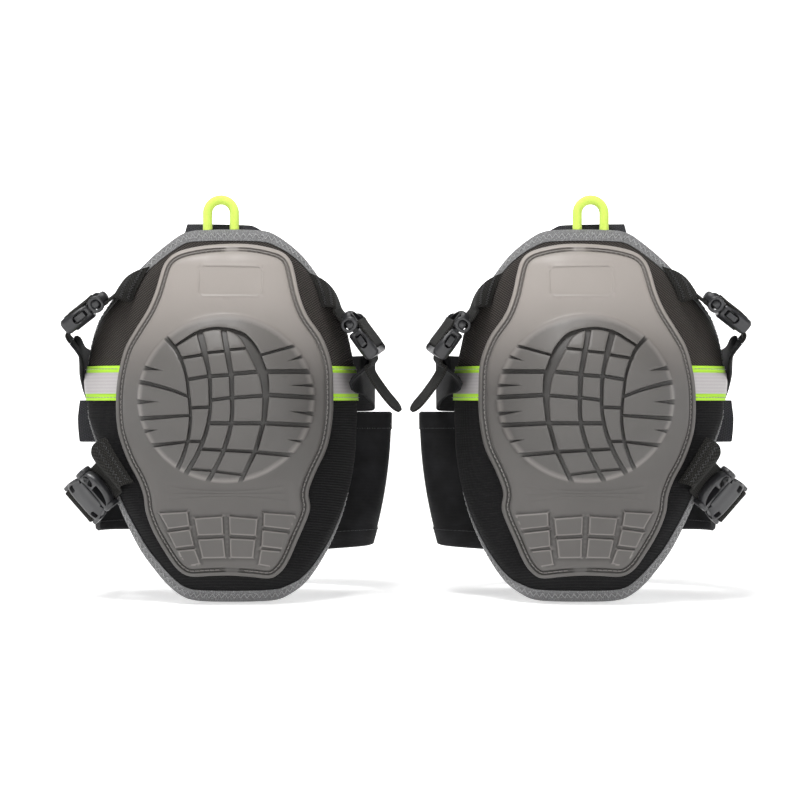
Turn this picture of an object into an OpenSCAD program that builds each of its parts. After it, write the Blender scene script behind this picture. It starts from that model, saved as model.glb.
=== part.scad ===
// A pair of strap-on knee pads. Each pad is a curved, layered shell (liner, foam, gel, cover and
// a moulded rubber cap) with a bound edge, a reflective band, a pull loop and three side-release
// buckles that carry an elastic thigh strap and a wide elastic calf panel.
// X runs across the pair, Y from the caps (-) to the wearer's legs (+), Z up the leg.

/* [Pair] */
// Distance between the middles of the two pads
pair_gap = 236; // [226:2:260]

/* [Pad body] */
// Height of the pad above the middle of the knee
pad_top = 114; // [111:1:116]
// Height of the pad below the middle of the knee
pad_bottom = 133; // [130:1:135]
// Half width of the leg hollow on the outer side
hollow_out = 92; // [90:1:94]
// Half width of the leg hollow on the inner side
hollow_in = 68; // [66:1:70]
// Depth of the leg hollow in front of the middle of the knee
hollow_front = 62; // [60:1:64]
// How far the top of the pad leans back
bow_top = 20; // [16:1:22]
// How far the bottom of the pad leans back
bow_bottom = 25; // [20:1:28]
// Thickness of the liner
liner_t = 2; // [1.5:0.5:2.5]
// Thickness of the foam in the middle of the pad
foam_t = 14; // [12:1:15]
// Thickness of the foam at the bound edge
foam_edge_t = 5; // [4:0.5:6]
// Thickness of the cover
cover_t = 2; // [1.5:0.5:2.5]
// Width of the bound edge
binding_w = 3; // [2:0.5:4]
// Thickness of the gel insert at its middle
gel_t = 6; // [4:1:7]

/* [Cap] */
// Thickness of the rubber cap at its flange
cap_t = 3.5; // [3:0.5:4]
// Extra height of the cap's dome above the gel
dome_t = 7; // [5:1:8]

/* [Buckles] */
// Width of the webbing in the buckles
web_w = 25; // [22:1:25]
// Thickness of the webbing
web_t = 1.6; // [1.2:0.2:1.8]
// Overall width of a buckle
buckle_w = 34; // [33:1:36]
// Thickness of a buckle
buckle_t = 8; // [8:0.5:9]

/* [Straps] */
// Width of the thigh strap
thigh_w = 38; // [30:2:40]
// Height of the calf panel where it leaves the pad
calf_w = 92; // [80:2:94]
// Thickness of both elastic straps
elastic_t = 2; // [1.5:0.5:2.5]

/* [Hidden] */
$fn = 48;
gap = 0.15;             // between layers that are glued or sewn together
cap_gap = 0.7;          // between the cap and the cover, whose facets don't match
gel_gap = 1.1;          // between the gel and the cover over it
rim_gap = 0.8;          // between the layers' edges and the edge tape
pad_x = pair_gap / 2;
pad_rows = 24;          // rows of facets down the pad
pad_cols = 16;          // facets across it

// The pad's edge: height, then the angle round the leg on the outer and on the inner side.
pad_rim = [
    [-133, -16, 25.5], [-130, -19, 30], [-124, -24, 39], [-113, -30, 48], [-100, -36.5, 57],
    [-87, -41.5, 65], [-74, -46.5, 73], [-62, -51, 80], [-50, -56, 86], [-30, -63, 92],
    [-10, -74, 95], [14, -77, 93], [34, -72, 85], [45, -67.5, 80], [56, -62, 73.5],
    [64, -56, 67], [72, -50, 60], [84, -40.5, 50], [97, -31, 40], [107, -23, 29.5],
    [112, -18.7, 22.8], [114, -17, 20.5]
];
// The cap's edge: height, then the half width seen from the front.
cap_rim = [
    [-116, 20], [-113, 29], [-105, 37], [-88, 48.5], [-72, 55], [-60, 55.5], [-50, 59.5],
    [-38, 65.5], [-20, 71], [0, 72.3], [17, 71.5], [35, 67.5], [48, 60], [60, 52.5],
    [71, 48.5], [83, 45.5], [95, 41.5], [101, 30], [104, 12]
];
cap_low = cap_rim[0][0];
cap_high = cap_rim[len(cap_rim) - 1][0];
dome_rx = 58;           // half width of the dome
dome_rz = 56;           // half height of the dome
dome_z = 2;             // its middle above the knee's

// Each buckle: name, place of its middle, turn of its pull direction in the front plane, roll
// about that direction, tilt of the pull direction away from the face, and whether the
// webbing's tail is threaded over its face.
upper_outer = ["upper_outer", [-95.5, -49, 61], 142, 170, 0, true];
upper_inner = ["upper_inner", [88, -43.5, 46], 53, 12, 0, true];
lower_tilt = 45;
lower_outer = ["lower_outer", [-93, -43, -62], 139, 90, lower_tilt, false];
BUCKLES = [upper_outer, upper_inner, lower_outer];
BUCKLE_PARTS = ["plug", "socket", "latch_a", "latch_b", "web"];
SOFT_PARTS = [
    "cap", "gel_insert", "foam_core", "cover", "liner", "binding", "hi_vis_ribbon",
    "reflective_tape", "pull_loop", "top_tab", "side_tab", "upper_anchor_web",
    "lower_anchor_web", "thigh_strap", "calf_panel"
];
PIECES = [
    each SOFT_PARTS,
    for (buckle = BUCKLES, part = BUCKLE_PARTS) str(buckle[0], "_", part)
];

// ---- small functions ----
function mix(a, b, t) = a + (b - a) * t;
function smooth(t) = let (c = min(1, max(0, t))) c * c * (3 - 2 * c);
function unit(v) = v / norm(v);
function column(table, k) = [for (r = table) [r[0], r[k]]];
function bow(z) = z > 0 ? bow_top * pow(z / 112, 2) : bow_bottom * pow(z / 130, 2);
function half_w(a) = a < 0 ? hollow_out : hollow_in;

// A point of the pad: angle round the leg, height, distance out from the hollow's wall.
function on_pad(a, z, h) = [
    (half_w(a) + h) * sin(a),
    bow(z) - (hollow_front + h) * cos(a),
    z
];
// Rows down a piece, closer together near its two ends.
function row_z(low, high, j, n) =
    let (t = j / n, e = 0.5 - 0.5 * cos(180 * t)) mix(low, high, mix(t, e, 0.45));

// The pad's edge angle at a height, drawn in by inset millimetres.
function rim_angle(z, k, inset) =
    lookup(z, column(pad_rim, k)) + (k == 1 ? 1 : -1) * inset * 57.3 / (half_w(k == 1 ? -1 : 1) + 8);
function pad_angle(s, z, inset) = mix(rim_angle(z, 1, inset), rim_angle(z, 2, inset), s);
// How full the foam is at an angle and height: 0 at the edge, 1 well inside.
function fullness(a, z) =
    let (
        across = min(a - rim_angle(z, 1, 0), rim_angle(z, 2, 0) - a) * 1.45,
        up = min(pad_top - z, z + pad_bottom)
    ) smooth((min(across, up) + 2) / 26);
function dome(a, z) =
    let (r = norm([90 * sin(a) / dome_rx, (z - dome_z) / dome_rz])) 1 - smooth((r - 0.45) / 0.6);
function foam_h(a, z) = liner_t + gap + mix(foam_edge_t, foam_t, fullness(a, z));
function cover_low(a, z) = foam_h(a, z) + gap + gel_t * dome(a, z);

function cap_angle(s, z) =
    (2 * s - 1) * asin(min(0.93, lookup(z, cap_rim) / (mix(hollow_out, hollow_in, s) + 20)));
function cap_low_h(a, z) = cover_low(a, z) + cover_t + cap_gap;
function cap_high_h(a, z) = cap_low_h(a, z) + cap_t + dome_t * dome(a, z);

// ---- general solids ----
// A slab between two grids of points with the same number of rows and columns.
module slab(outer, inner) {
    n = len(outer);
    m = len(outer[0]);
    all = [for (r = outer) each r, for (r = inner) each r];
    b = n * m;
    ring = [
        for (i = [0:1:m - 2]) i,
        for (j = [0:1:n - 2]) j * m + m - 1,
        for (i = [m - 1:-1:1]) (n - 1) * m + i,
        for (j = [n - 1:-1:1]) j * m
    ];
    k = len(ring);
    polyhedron(all, [
        for (j = [0:n - 2], i = [0:m - 2]) let (q = j * m + i)
            each [[q, q + m, q + m + 1], [q, q + m + 1, q + 1]],
        for (j = [0:n - 2], i = [0:m - 2]) let (q = b + j * m + i)
            each [[q, q + m + 1, q + m], [q, q + 1, q + m + 1]],
        for (i = [0:k - 1]) let (p = ring[i], q = ring[(i + 1) % k])
            each [[p, q, q + b], [p, q + b, p + b]]
    ]);
}

// A point and a heading on a chain of cubic curves; each curve is four points.
function curve(c, t) =
    pow(1 - t, 3) * c[0] + 3 * pow(1 - t, 2) * t * c[1] + 3 * (1 - t) * t * t * c[2] + pow(t, 3) * c[3];
function chain(curves, n) = [
    for (c = curves, i = [0:n - 1]) curve(c, i / n),
    curves[len(curves) - 1][3]
];
function heading(p, i) = unit(p[min(i + 1, len(p) - 1)] - p[max(i - 1, 0)]);

// A sheet of thickness t about a grid of points.
function grid_normal(g, j, i) =
    let (
        n = len(g) - 1,
        m = len(g[0]) - 1,
        along = g[min(j + 1, n)][i] - g[max(j - 1, 0)][i],
        across = g[j][min(i + 1, m)] - g[j][max(i - 1, 0)]
    ) unit(cross(across, along));
module sheet(grid, t) {
    n = len(grid) - 1;
    m = len(grid[0]) - 1;
    function shifted(k) = [for (j = [0:n]) [for (i = [0:m]) grid[j][i] + k * grid_normal(grid, j, i)]];
    slab(shifted(t / 2), shifted(-t / 2));
}

// A flat strap along points, with a list of across vectors (half the width long) spread along it.
module strap(points, across, t) {
    n = len(points) - 1;
    k = len(across) - 1;
    sheet([for (i = [0:n]) let (
        f = i / n * k,
        j = min(floor(f), k - 1),
        w = mix(across[j], across[j + 1], smooth(f - j)),
        d = heading(points, i),
        flat = unit(w - (w * d) * d) * norm(w)
    ) [points[i] + flat, points[i] - flat]], t);
}

// A strip of thickness t along a flat path, as a polygon.
function side_step(path, i, t) =
    let (
        a = path[max(i - 1, 0)],
        b = path[min(i + 1, len(path) - 1)],
        d = unit(b - a),
        bend = i > 0 && i < len(path) - 1
            ? cos(0.5 * acos(min(1, unit(path[i] - a) * unit(b - path[i])))) : 1
    ) [-d[1], d[0]] * t / 2 / max(0.5, bend);
module strip(path, t) {
    n = len(path) - 1;
    polygon([
        for (i = [0:n]) path[i] + side_step(path, i, t),
        for (i = [n:-1:0]) path[i] - side_step(path, i, t)
    ]);
}

// ---- pad layers ----
module pad_layer(low_h, high_h, inset) {
    low = -pad_bottom + inset;
    high = pad_top - inset;
    zs = [for (j = [0:pad_rows]) row_z(low, high, j, pad_rows)];
    slab(
        [for (z = zs) [for (i = [0:pad_cols]) let (s = i / pad_cols, a = pad_angle(s, z, inset))
            on_pad(a, z, high_h(a, z))]],
        [for (z = zs) [for (i = [0:pad_cols]) let (s = i / pad_cols, a = pad_angle(s, z, inset))
            on_pad(a, z, low_h(a, z))]]
    );
}

module liner() {
    color("#262626")
        pad_layer(function(a, z) 0, function(a, z) liner_t, binding_w);
}

module foam_core() {
    color("#c9c4b2")
        pad_layer(function(a, z) liner_t + gap, function(a, z) foam_h(a, z), binding_w);
}

module cover() {
    color("#2e2d2c")
        pad_layer(
            function(a, z) cover_low(a, z),
            function(a, z) cover_low(a, z) + cover_t,
            binding_w
        );
}

// The gel lies on the foam and lifts the cover under the dome.
module gel_insert() {
    n = 12;
    m = 14;
    half_x = 46;
    half_z = 44;
    zs = [for (j = [0:n]) dome_z + half_z * mix(-1, 1, j / n)];
    function gel_angle(i, z) =
        mix(-1, 1, i / m) * asin(half_x * sqrt(1 - 0.85 * pow((z - dome_z) / half_z, 2)) / 90);
    color("#5f86a8")
        slab(
            [for (z = zs) [for (i = [0:m]) let (a = gel_angle(i, z))
                on_pad(a, z, cover_low(a, z) - gel_gap)]],
            [for (z = zs) [for (i = [0:m]) let (a = gel_angle(i, z))
                on_pad(a, z, foam_h(a, z) + gap + 0.05)]]
        );
}

module cap() {
    zs = [for (j = [0:pad_rows]) row_z(cap_low, cap_high, j, pad_rows)];
    function at(s, z, high) =
        let (a = cap_angle(s, z)) on_pad(a, z, high ? cap_high_h(a, z) : cap_low_h(a, z));
    color("#8a8480")
        slab(
            [for (z = zs) [for (i = [0:pad_cols]) at(i / pad_cols, z, true)]],
            [for (z = zs) [for (i = [0:pad_cols]) at(i / pad_cols, z, false)]]
        );
}

// The edge tape runs round the rim of the liner, foam and cover.
module binding() {
    n = pad_rows;
    m = pad_cols;
    function zs(inset) = [for (j = [0:n]) row_z(-pad_bottom + inset, pad_top - inset, j, n)];
    function loop(inset) = let (z = zs(inset)) [
        for (i = [0:m - 1]) [i / m, z[0]],
        for (j = [0:n - 1]) [1, z[j]],
        for (i = [m:-1:1]) [i / m, z[n]],
        for (j = [n:-1:1]) [0, z[j]]
    ];
    outer = loop(0);
    inner = loop(binding_w - rim_gap);
    k = len(outer);
    edge_h = liner_t + foam_edge_t + cover_t + 2 * gap;
    points = [
        for (p = outer) on_pad(pad_angle(p[0], p[1], 0), p[1], edge_h),
        for (p = inner) on_pad(pad_angle(p[0], p[1], binding_w - rim_gap), p[1], edge_h + 0.8),
        for (p = inner) on_pad(pad_angle(p[0], p[1], binding_w - rim_gap), p[1], 0),
        for (p = outer) on_pad(pad_angle(p[0], p[1], 0), p[1], 0)
    ];
    color("#8c8c8e")
        polyhedron(points, [
            for (i = [0:k - 1], r = [0:3]) let (
                j = (i + 1) % k,
                p = r * k + i,
                q = r * k + j,
                p2 = (r + 1) % 4 * k + i,
                q2 = (r + 1) % 4 * k + j
            ) each [[p, p2, q2], [p, q2, q]]
        ]);
}

// A band laid on the cover between two heights, from the cap's edge to the pad's edge.
module band_side(side, low, high, h0, h1) {
    n = 4;
    m = 8;
    function at(i, j, h) = let (
        z = mix(low, high, j / n),
        edge = pad_angle(side == 0 ? 0.02 : 0.98, z, binding_w),
        inner = (side == 0 ? -1 : 1) * (abs(cap_angle(side, z)) + 1.6),
        a = side == 0 ? mix(edge, inner, i / m) : mix(inner, edge, i / m)
    ) on_pad(a, z, cover_low(a, z) + cover_t + h);
    slab(
        [for (j = [0:n]) [for (i = [0:m]) at(i, j, h1)]],
        [for (j = [0:n]) [for (i = [0:m]) at(i, j, h0)]]
    );
}
module band(low, high, h0, h1) {
    for (side = [0, 1])
        band_side(side, low, high, h0, h1);
}
band_low = 1;
band_high = 24;
silver_inset = 4.5;
module hi_vis_ribbon() {
    color("#a6f015")
        band(band_low, band_high, 0.6, 1.2);
}
module reflective_tape() {
    color("#b9b9be")
        band(band_low + silver_inset, band_high - silver_inset, 1.5, 1.9);
}

// ---- loop and tabs ----
loop_r = 3.3;           // radius of the pull cord
loop_half = 9;          // half the distance between its legs
loop_x = -6;            // its middle, towards the outer side
loop_foot = pad_top + 1.2;
loop_top = 126.5;       // height of the middle of its bend
module pull_loop() {
    y = on_pad(0, pad_top, 4)[1];
    color("#dcf53c")
        translate([loop_x, y, 0]) {
            translate([0, 0, loop_top])
                rotate([90, 0, 0])
                    rotate_extrude(angle = 180)
                        translate([loop_half, 0])
                            circle(r = loop_r);
            for (x = [-loop_half, loop_half])
                translate([x, 0, loop_foot])
                    cylinder(r = loop_r, h = loop_top - loop_foot);
        }
}

// A strip of webbing sewn inside the top edge; it holds the pull cord's ends.
module top_tab() {
    n = 6;
    zs = [105, pad_top + 4.5];
    function tab_at(z, i, h) = on_pad(mix(-19, 22, i / n), z + (i == 0 ? 1 : 0), h);
    color("#1f1f20")
        slab(
            [for (z = zs) [for (i = [0:n]) tab_at(z, i, -0.5)]],
            [for (z = zs) [for (i = [0:n]) tab_at(z, i, -2.2)]]
        );
}

// A folded loop of webbing sewn under the edge tape on the outer side.
module side_tab() {
    n = 6;
    way = unit([-0.95, 0.3, 0]);
    function edge_at(z) = on_pad(rim_angle(z, 1, 0), z, 5) + [-0.5, 1.3, 0];
    color("#1f1f20")
        sheet([for (j = [0:n]) let (z = mix(-27, 1, j / n))
            [edge_at(z), edge_at(z) + mix(17, 12, j / n) * way]], 2);
}

// ---- buckles ----
module at_buckle(buckle) {
    translate(buckle[1])
        rotate([0, buckle[2], 0])
            rotate([buckle[3], 0, 0])
                rotate([0, buckle[4], 0])
                    children();
}
// A buckle's own frame: X is the pull direction, Y across, Z out of its face.
pivot_u = -5.2;         // where the latch arms turn
pivot_v = 9.5;
root_r = 1.6;
seat_r = 1.65;
mouth_u = -3;           // open end of the socket
body_end_u = 11.6;
bar_u = 16;
bar_r = 2;
cavity_v = 13;
cavity_w = 2;
rail_v = 3.2;           // width of the rails that hold the strap bar

module rounded_bar(length, r) {
    translate([0, -length / 2 + r, 0])
        rotate([-90, 0, 0])
            cylinder(r = r, h = length - 2 * r);
    for (y = [-1, 1])
        translate([0, y * (length / 2 - r), 0])
            sphere(r = r);
}

module socket() {
    half = buckle_w / 2;
    color("#3c3c3e")
        difference() {
            union() {
                translate([0, 0, -buckle_t / 2])
                    linear_extrude(height = buckle_t)
                        polygon([
                            [mouth_u, -half + 3.5], [mouth_u + 2, -half + 1.6], [7, -half],
                            [body_end_u, -half], [body_end_u, half], [7, half],
                            [mouth_u + 2, half - 1.6], [mouth_u, half - 3.5]
                        ]);
                for (v = [-half, half - rail_v])
                    translate([body_end_u - 1, v, -bar_r])
                        cube([bar_u - body_end_u + 1, rail_v, 2 * bar_r]);
                translate([bar_u, 0, 0])
                    rounded_bar(buckle_w + 1, bar_r);
            }
            translate([mouth_u - 1, -cavity_v, -cavity_w])
                cube([14, 2 * cavity_v, 2 * cavity_w]);
            for (v = [-half - 1, cavity_v - 0.5])
                translate([-1, v, -cavity_w])
                    cube([11, half - cavity_v + 1.5, 2 * cavity_w]);
            for (v = [-1, 1])
                translate([5.4, v * 11.6, 0])
                    cylinder(r = 1.9, h = buckle_t);
        }
}

module plug() {
    half = buckle_w / 2;
    color("#3c3c3e")
        difference() {
            union() {
                intersection() {
                    translate([-4, 0, -2.2])
                        cylinder(r = half, h = 4.4);
                    translate([-17, -half + 0.5, -2.2])
                        cube([11, buckle_w - 1, 4.4]);
                }
                translate([-7, -half + 2, -2.2])
                    cube([3.5, buckle_w - 4, 4.4]);
                translate([-6, -2, -1.8])
                    cube([15, 4, 3.6]);
            }
            translate([-9.6, -10.5, -4])
                cube([2, 21, 8]);
            intersection() {
                translate([-7.5, 0, -4])
                    cylinder(r = 11.5, h = 8);
                translate([-16, -10.5, -4])
                    cube([4, 21, 8]);
            }
            for (v = [-pivot_v, pivot_v])
                translate([pivot_u, v, -4]) {
                    cylinder(r = seat_r, h = 8);
                    translate([0.6, -2.1, 0])
                        cube([4, 4.2, 8]);
                }
        }
}

// One sprung arm; its ear stands in the socket's side window.
module latch() {
    color("#4a4a4c")
        translate([0, 0, -1.8])
            linear_extrude(height = 3.6)
                union() {
                    translate([pivot_u, pivot_v])
                        circle(r = root_r);
                    polygon([
                        [pivot_u, pivot_v - 1.1], [8.6, pivot_v - 1.1], [9.6, pivot_v + 0.6],
                        [9.4, pivot_v + 3.4], [8.2, pivot_v + 5.2], [6.8, pivot_v + 5.5],
                        [1.5, pivot_v + 3.4], [0, pivot_v + 1.1], [pivot_u, pivot_v + 1.1]
                    ]);
                }
}
module latch_pair(which) {
    mirror([0, which == "b" ? 1 : 0, 0])
        latch();
}

// Webbing in a buckle: drawn in the plane of pull direction and face, then given its width.
module flat_web(path) {
    color("#3a3a36")
        translate([0, web_w / 2, 0])
            rotate([90, 0, 0])
                linear_extrude(height = web_w)
                    strip(path, web_t);
}
face_w = buckle_t / 2 + 0.4 + web_t / 2;
slot_u = (body_end_u + bar_u - bar_r) / 2;
under_w = -bar_r - 0.4 - web_t / 2;
// Tail on the face, down through the slot, out under the bar and down behind it.
web_drop_u = bar_u + 4.6;
web_drop_w = under_w - 6.5;
module threaded_web() {
    flat_web([
        [-11, face_w + 2], [-5, face_w + 0.6], [0, face_w], [slot_u - 2.3, face_w],
        [slot_u - 0.8, face_w], [slot_u, face_w - 0.7], [slot_u + 0.1, face_w - 1.8], [slot_u, 1],
        [slot_u, -1.2], [slot_u + 0.7, under_w + 0.7], [slot_u + 2, under_w], [bar_u + 1.5, under_w],
        [bar_u + 3.6, under_w - 1], [web_drop_u, under_w - 3.4], [web_drop_u, web_drop_w]
    ]);
}
// Round the bar and back behind it.
loop_r_mid = bar_r + 0.4 + web_t / 2;
loop_out = 20;          // how far the two layers run back from the bar
// A point beside the bar: along the way that the webbing leaves it, and across that way.
function off_bar(along, side) = [
    bar_u + along * cos(lower_tilt) + side * sin(lower_tilt),
    -along * sin(lower_tilt) + side * cos(lower_tilt)
];
module looped_web() {
    r = loop_r_mid;
    flat_web([
        off_bar(loop_out, -0.9), off_bar(9, -0.95), off_bar(5, -1.9), off_bar(1.5, -3.1),
        for (a = [-90:-30:-270]) off_bar(r * cos(a), r * sin(a)),
        off_bar(1.5, 3.1), off_bar(5, 1.9), off_bar(9, 0.95), off_bar(loop_out, 0.9)
    ]);
}

// ---- anchor webs: from beside the cap, over the pad's edge, under the plug's frame ----
// A direction and a point of a buckle's own frame, in the pad's frame.
function turned(v, buckle) =
    let (
        t = buckle[2],
        r = buckle[3],
        p = buckle[4],
        b = [v[0] * cos(p) + v[2] * sin(p), v[1], -v[0] * sin(p) + v[2] * cos(p)],
        a = [b[0], b[1] * cos(r) - b[2] * sin(r), b[1] * sin(r) + b[2] * cos(r)]
    ) [a[0] * cos(t) + a[2] * sin(t), a[1], -a[0] * sin(t) + a[2] * cos(t)];
function placed(v, buckle) = buckle[1] + turned(v, buckle);
web_under = -2.2 - 0.5 - web_t / 2;

// A strap from a foot on the cover to a buckle; the foot is the angle and height of its two sides.
module anchor_web(foot, buckle) {
    sides = 4;
    function side_path(i) =
        let (
            v = i / sides,
            a = mix(foot[0][0], foot[1][0], v),
            z = mix(foot[0][1], foot[1][1], v),
            start = on_pad(a, z, cover_low(a, z) + cover_t + 2.6),
            across = mix(-12.5, 12.5, v),
            end = [for (u = [-25.5, -21.5, -8.5]) placed([u, across, web_under], buckle)]
        ) chain([
            [start, start + 0.4 * (end[0] - start) + 21 * [sin(a), -cos(a), 0], end[0], end[1]],
            [end[1], end[1], end[2], end[2]]
        ], 6);
    paths = [for (i = [0:sides]) side_path(i)];
    color("#3a3a36")
        sheet([for (j = [0:len(paths[0]) - 1]) [for (i = [sides:-1:0]) paths[i][j]]], web_t);
}
module upper_anchor_web() {
    anchor_web([[-30, 90], [-35, 66.5]], upper_outer);
    anchor_web([[45, 64], [40, 86]], upper_inner);
}
module lower_anchor_web() {
    anchor_web([[-47, -24], [-34, -53]], lower_outer);
}

// ---- straps behind the leg ----
join_gap = 1.6;       // between a strap's end and the webbing that it is sewn to
strap_back_y = 66;
module thigh_strap() {
    function end_at(drop, buckle) = placed([web_drop_u, 0, web_drop_w - drop], buckle);
    out = [for (drop = [join_gap, join_gap + 5, 11]) end_at(drop, upper_outer)];
    in = [for (drop = [join_gap, join_gap + 5.5, 11]) end_at(drop, upper_inner)];
    out_across = turned([0, -12.6, 0], upper_outer);
    in_across = turned([0, 12.6, 0], upper_inner);
    half = thigh_w / 2;
    side_out = [-100, 24, 14];
    side_in = [94.5, 29, 14];
    back = [-4, strap_back_y, 14];
    color("#2a2a2b")
        strap(
            chain([
                [out[0], out[0], out[1], out[1]],
                [out[1], out[2], [-108, -4, 20], side_out],
                [side_out, [-96, 54, 10], [-50, strap_back_y, 14], back],
                [back, [44, strap_back_y, 14], [88, 58, 12], side_in],
                [side_in, [100, 6, 14], in[2], in[1]],
                [in[1], in[1], in[0], in[0]]
            ], 7),
            [out_across, out_across, [0, 5, half], [0, 0, half], [0, 5, half], in_across, in_across],
            elastic_t
        );
}

// The calf panel hangs from the pad's inner edge, wraps the calf and narrows to the webbing.
panel_mid_z = -54;
panel_back_y = 79;
module calf_panel() {
    rows = 6;
    end_at = off_bar(loop_out + join_gap, 0);
    end = placed([end_at[0], 0, end_at[1]], lower_outer);
    end_across = turned([0, -12.6, 0], lower_outer);
    function panel_row(v) =
        let (
            z = panel_mid_z + v * calf_w / 2,
            a = rim_angle(z, 2, 0),
            start = on_pad(a, z, 4) + 1.2 * edge_way(a),
            side_x = 107 - 13 * pow((-z - 8) / 92, 2),
            back_z = -57 + v * (calf_w / 2 - 8),
            out_z = -68 + v * 22
        ) chain([
            [start, start + 13 * edge_way(a), [side_x + 1, 8, z], [side_x, 28, z]],
            [[side_x, 28, z], [side_x - 5, 56, z], [40, panel_back_y, back_z], [-4, panel_back_y, back_z]],
            [[-4, panel_back_y, back_z], [-48, panel_back_y, back_z], [-86, 62, out_z], [-99, 26, out_z]],
            [[-99, 26, out_z], [-101, 16, out_z - 1], end + v * end_across + [0, 9, 0], end + v * end_across]
        ], 7);
    // The way that the pad's surface runs on past its inner edge.
    function edge_way(a) = unit([(hollow_in + 4) * cos(a), (hollow_front + 4) * sin(a), 0]);
    color("#2a2a2b")
        sheet([for (r = [0:rows]) panel_row(r / rows * 2 - 1)], elastic_t);
}

// ---- the pieces of one pad, by name ----
module soft_part(piece) {
    if (piece == "cap") cap();
    if (piece == "gel_insert") gel_insert();
    if (piece == "foam_core") foam_core();
    if (piece == "cover") cover();
    if (piece == "liner") liner();
    if (piece == "binding") binding();
    if (piece == "hi_vis_ribbon") hi_vis_ribbon();
    if (piece == "reflective_tape") reflective_tape();
    if (piece == "pull_loop") pull_loop();
    if (piece == "top_tab") top_tab();
    if (piece == "side_tab") side_tab();
    if (piece == "upper_anchor_web") upper_anchor_web();
    if (piece == "lower_anchor_web") lower_anchor_web();
    if (piece == "thigh_strap") thigh_strap();
    if (piece == "calf_panel") calf_panel();
}
module buckle_part(buckle, part) {
    at_buckle(buckle) {
        if (part == "plug") plug();
        if (part == "socket") socket();
        if (part == "latch_a") latch_pair("a");
        if (part == "latch_b") latch_pair("b");
        if (part == "web") {
            if (buckle[5]) threaded_web();
            else looped_web();
        }
    }
}
// The right pad is the left pad's mirror image.
module pad_side(side) {
    mirror([side == "right" ? 1 : 0, 0, 0])
        translate([-pad_x, 0, 0])
            children();
}

for (side = ["left", "right"], piece = SOFT_PARTS)
    pad_side(side) soft_part(piece);
for (side = ["left", "right"], buckle = BUCKLES, part = BUCKLE_PARTS)
    pad_side(side) buckle_part(buckle, part);
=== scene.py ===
"""A pair of strap-on work knee pads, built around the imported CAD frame.

Every pad piece is made once, in millimetres in the pad's own frame (X away from the wearer's outer
side, Y towards the leg, Z up), then placed for the left pad and mirrored for the right one.
"""

import math

import bmesh
import bpy
import numpy as np
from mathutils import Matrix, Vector
from mathutils.geometry import delaunay_2d_cdt

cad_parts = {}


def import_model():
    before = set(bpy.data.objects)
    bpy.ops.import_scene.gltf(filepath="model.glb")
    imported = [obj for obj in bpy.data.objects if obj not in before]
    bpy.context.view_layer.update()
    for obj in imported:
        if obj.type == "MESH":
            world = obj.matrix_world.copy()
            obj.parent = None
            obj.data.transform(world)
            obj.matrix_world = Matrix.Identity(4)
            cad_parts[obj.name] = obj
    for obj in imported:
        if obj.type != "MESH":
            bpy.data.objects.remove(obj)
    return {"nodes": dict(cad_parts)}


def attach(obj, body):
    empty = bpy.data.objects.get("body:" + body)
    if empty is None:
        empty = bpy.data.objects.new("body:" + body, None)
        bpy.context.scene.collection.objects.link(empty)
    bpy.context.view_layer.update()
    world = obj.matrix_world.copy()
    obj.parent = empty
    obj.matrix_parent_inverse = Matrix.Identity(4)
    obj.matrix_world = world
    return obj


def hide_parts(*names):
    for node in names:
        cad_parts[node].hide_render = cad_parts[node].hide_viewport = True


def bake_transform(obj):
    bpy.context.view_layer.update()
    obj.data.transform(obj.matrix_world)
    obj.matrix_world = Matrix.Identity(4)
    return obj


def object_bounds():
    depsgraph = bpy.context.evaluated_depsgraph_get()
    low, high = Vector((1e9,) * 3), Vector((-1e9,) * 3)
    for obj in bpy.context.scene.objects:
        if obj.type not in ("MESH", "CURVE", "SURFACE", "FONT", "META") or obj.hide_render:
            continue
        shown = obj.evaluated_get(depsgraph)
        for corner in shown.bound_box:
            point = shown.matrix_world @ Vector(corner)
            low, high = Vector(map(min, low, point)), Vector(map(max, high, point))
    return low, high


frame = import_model()
cad_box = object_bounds()

MM = 0.001
SIDES = ("left", "right")
PAD_X = 118.0           # from the middle of the pair to the middle of a pad


def new_object(name, data):
    thing = bpy.data.objects.new(name, data)
    bpy.context.scene.collection.objects.link(thing)
    return thing


def new_mesh(name, verts, faces):
    mesh = bpy.data.meshes.new(name)
    mesh.from_pydata(verts, [], faces)
    return mesh


# ---- Camera, lights and floor, in metres ----
CAMERA_AT = (-0.0039, -1.284, 0.0013)
SENSOR = 36.0
PICTURE_WIDTH = 0.520   # width that the picture takes in, in the plane of the caps' flanges
FLANGE_Y = -0.084
WORLD_LIGHT = 0.12
# Each light: place, what it points at, width and height, watts.
LIGHTS = {
    "key": ((-0.35, -0.7, 1.7), (0, 0, 0), (0.9, 0.5), 40),
    "fill": ((0.9, -1.6, 0.7), (0, 0, 0), (0.9, 0.9), 4),
    "back": ((0.0, 1.0, 1.6), (0, 0, 0.1), (1.6, 0.8), 8),
}
FLOOR_FLAT, FLOOR_CURVE, FLOOR_TOP = 5.5, 0.9, 2.2      # flat out to, curved up by, wall up to
FLOOR_SIDES = 96
FLOOR_GAP = 0.0005      # between the floor and the lowest point above it


def make_camera():
    data = bpy.data.cameras.new("camera")
    data.sensor_width = SENSOR
    data.lens = SENSOR * (FLANGE_Y - CAMERA_AT[1]) / PICTURE_WIDTH
    camera = new_object("camera", data)
    camera.location = CAMERA_AT
    camera.rotation_euler = (math.radians(90), 0, 0)
    bpy.context.scene.camera = camera


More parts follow.
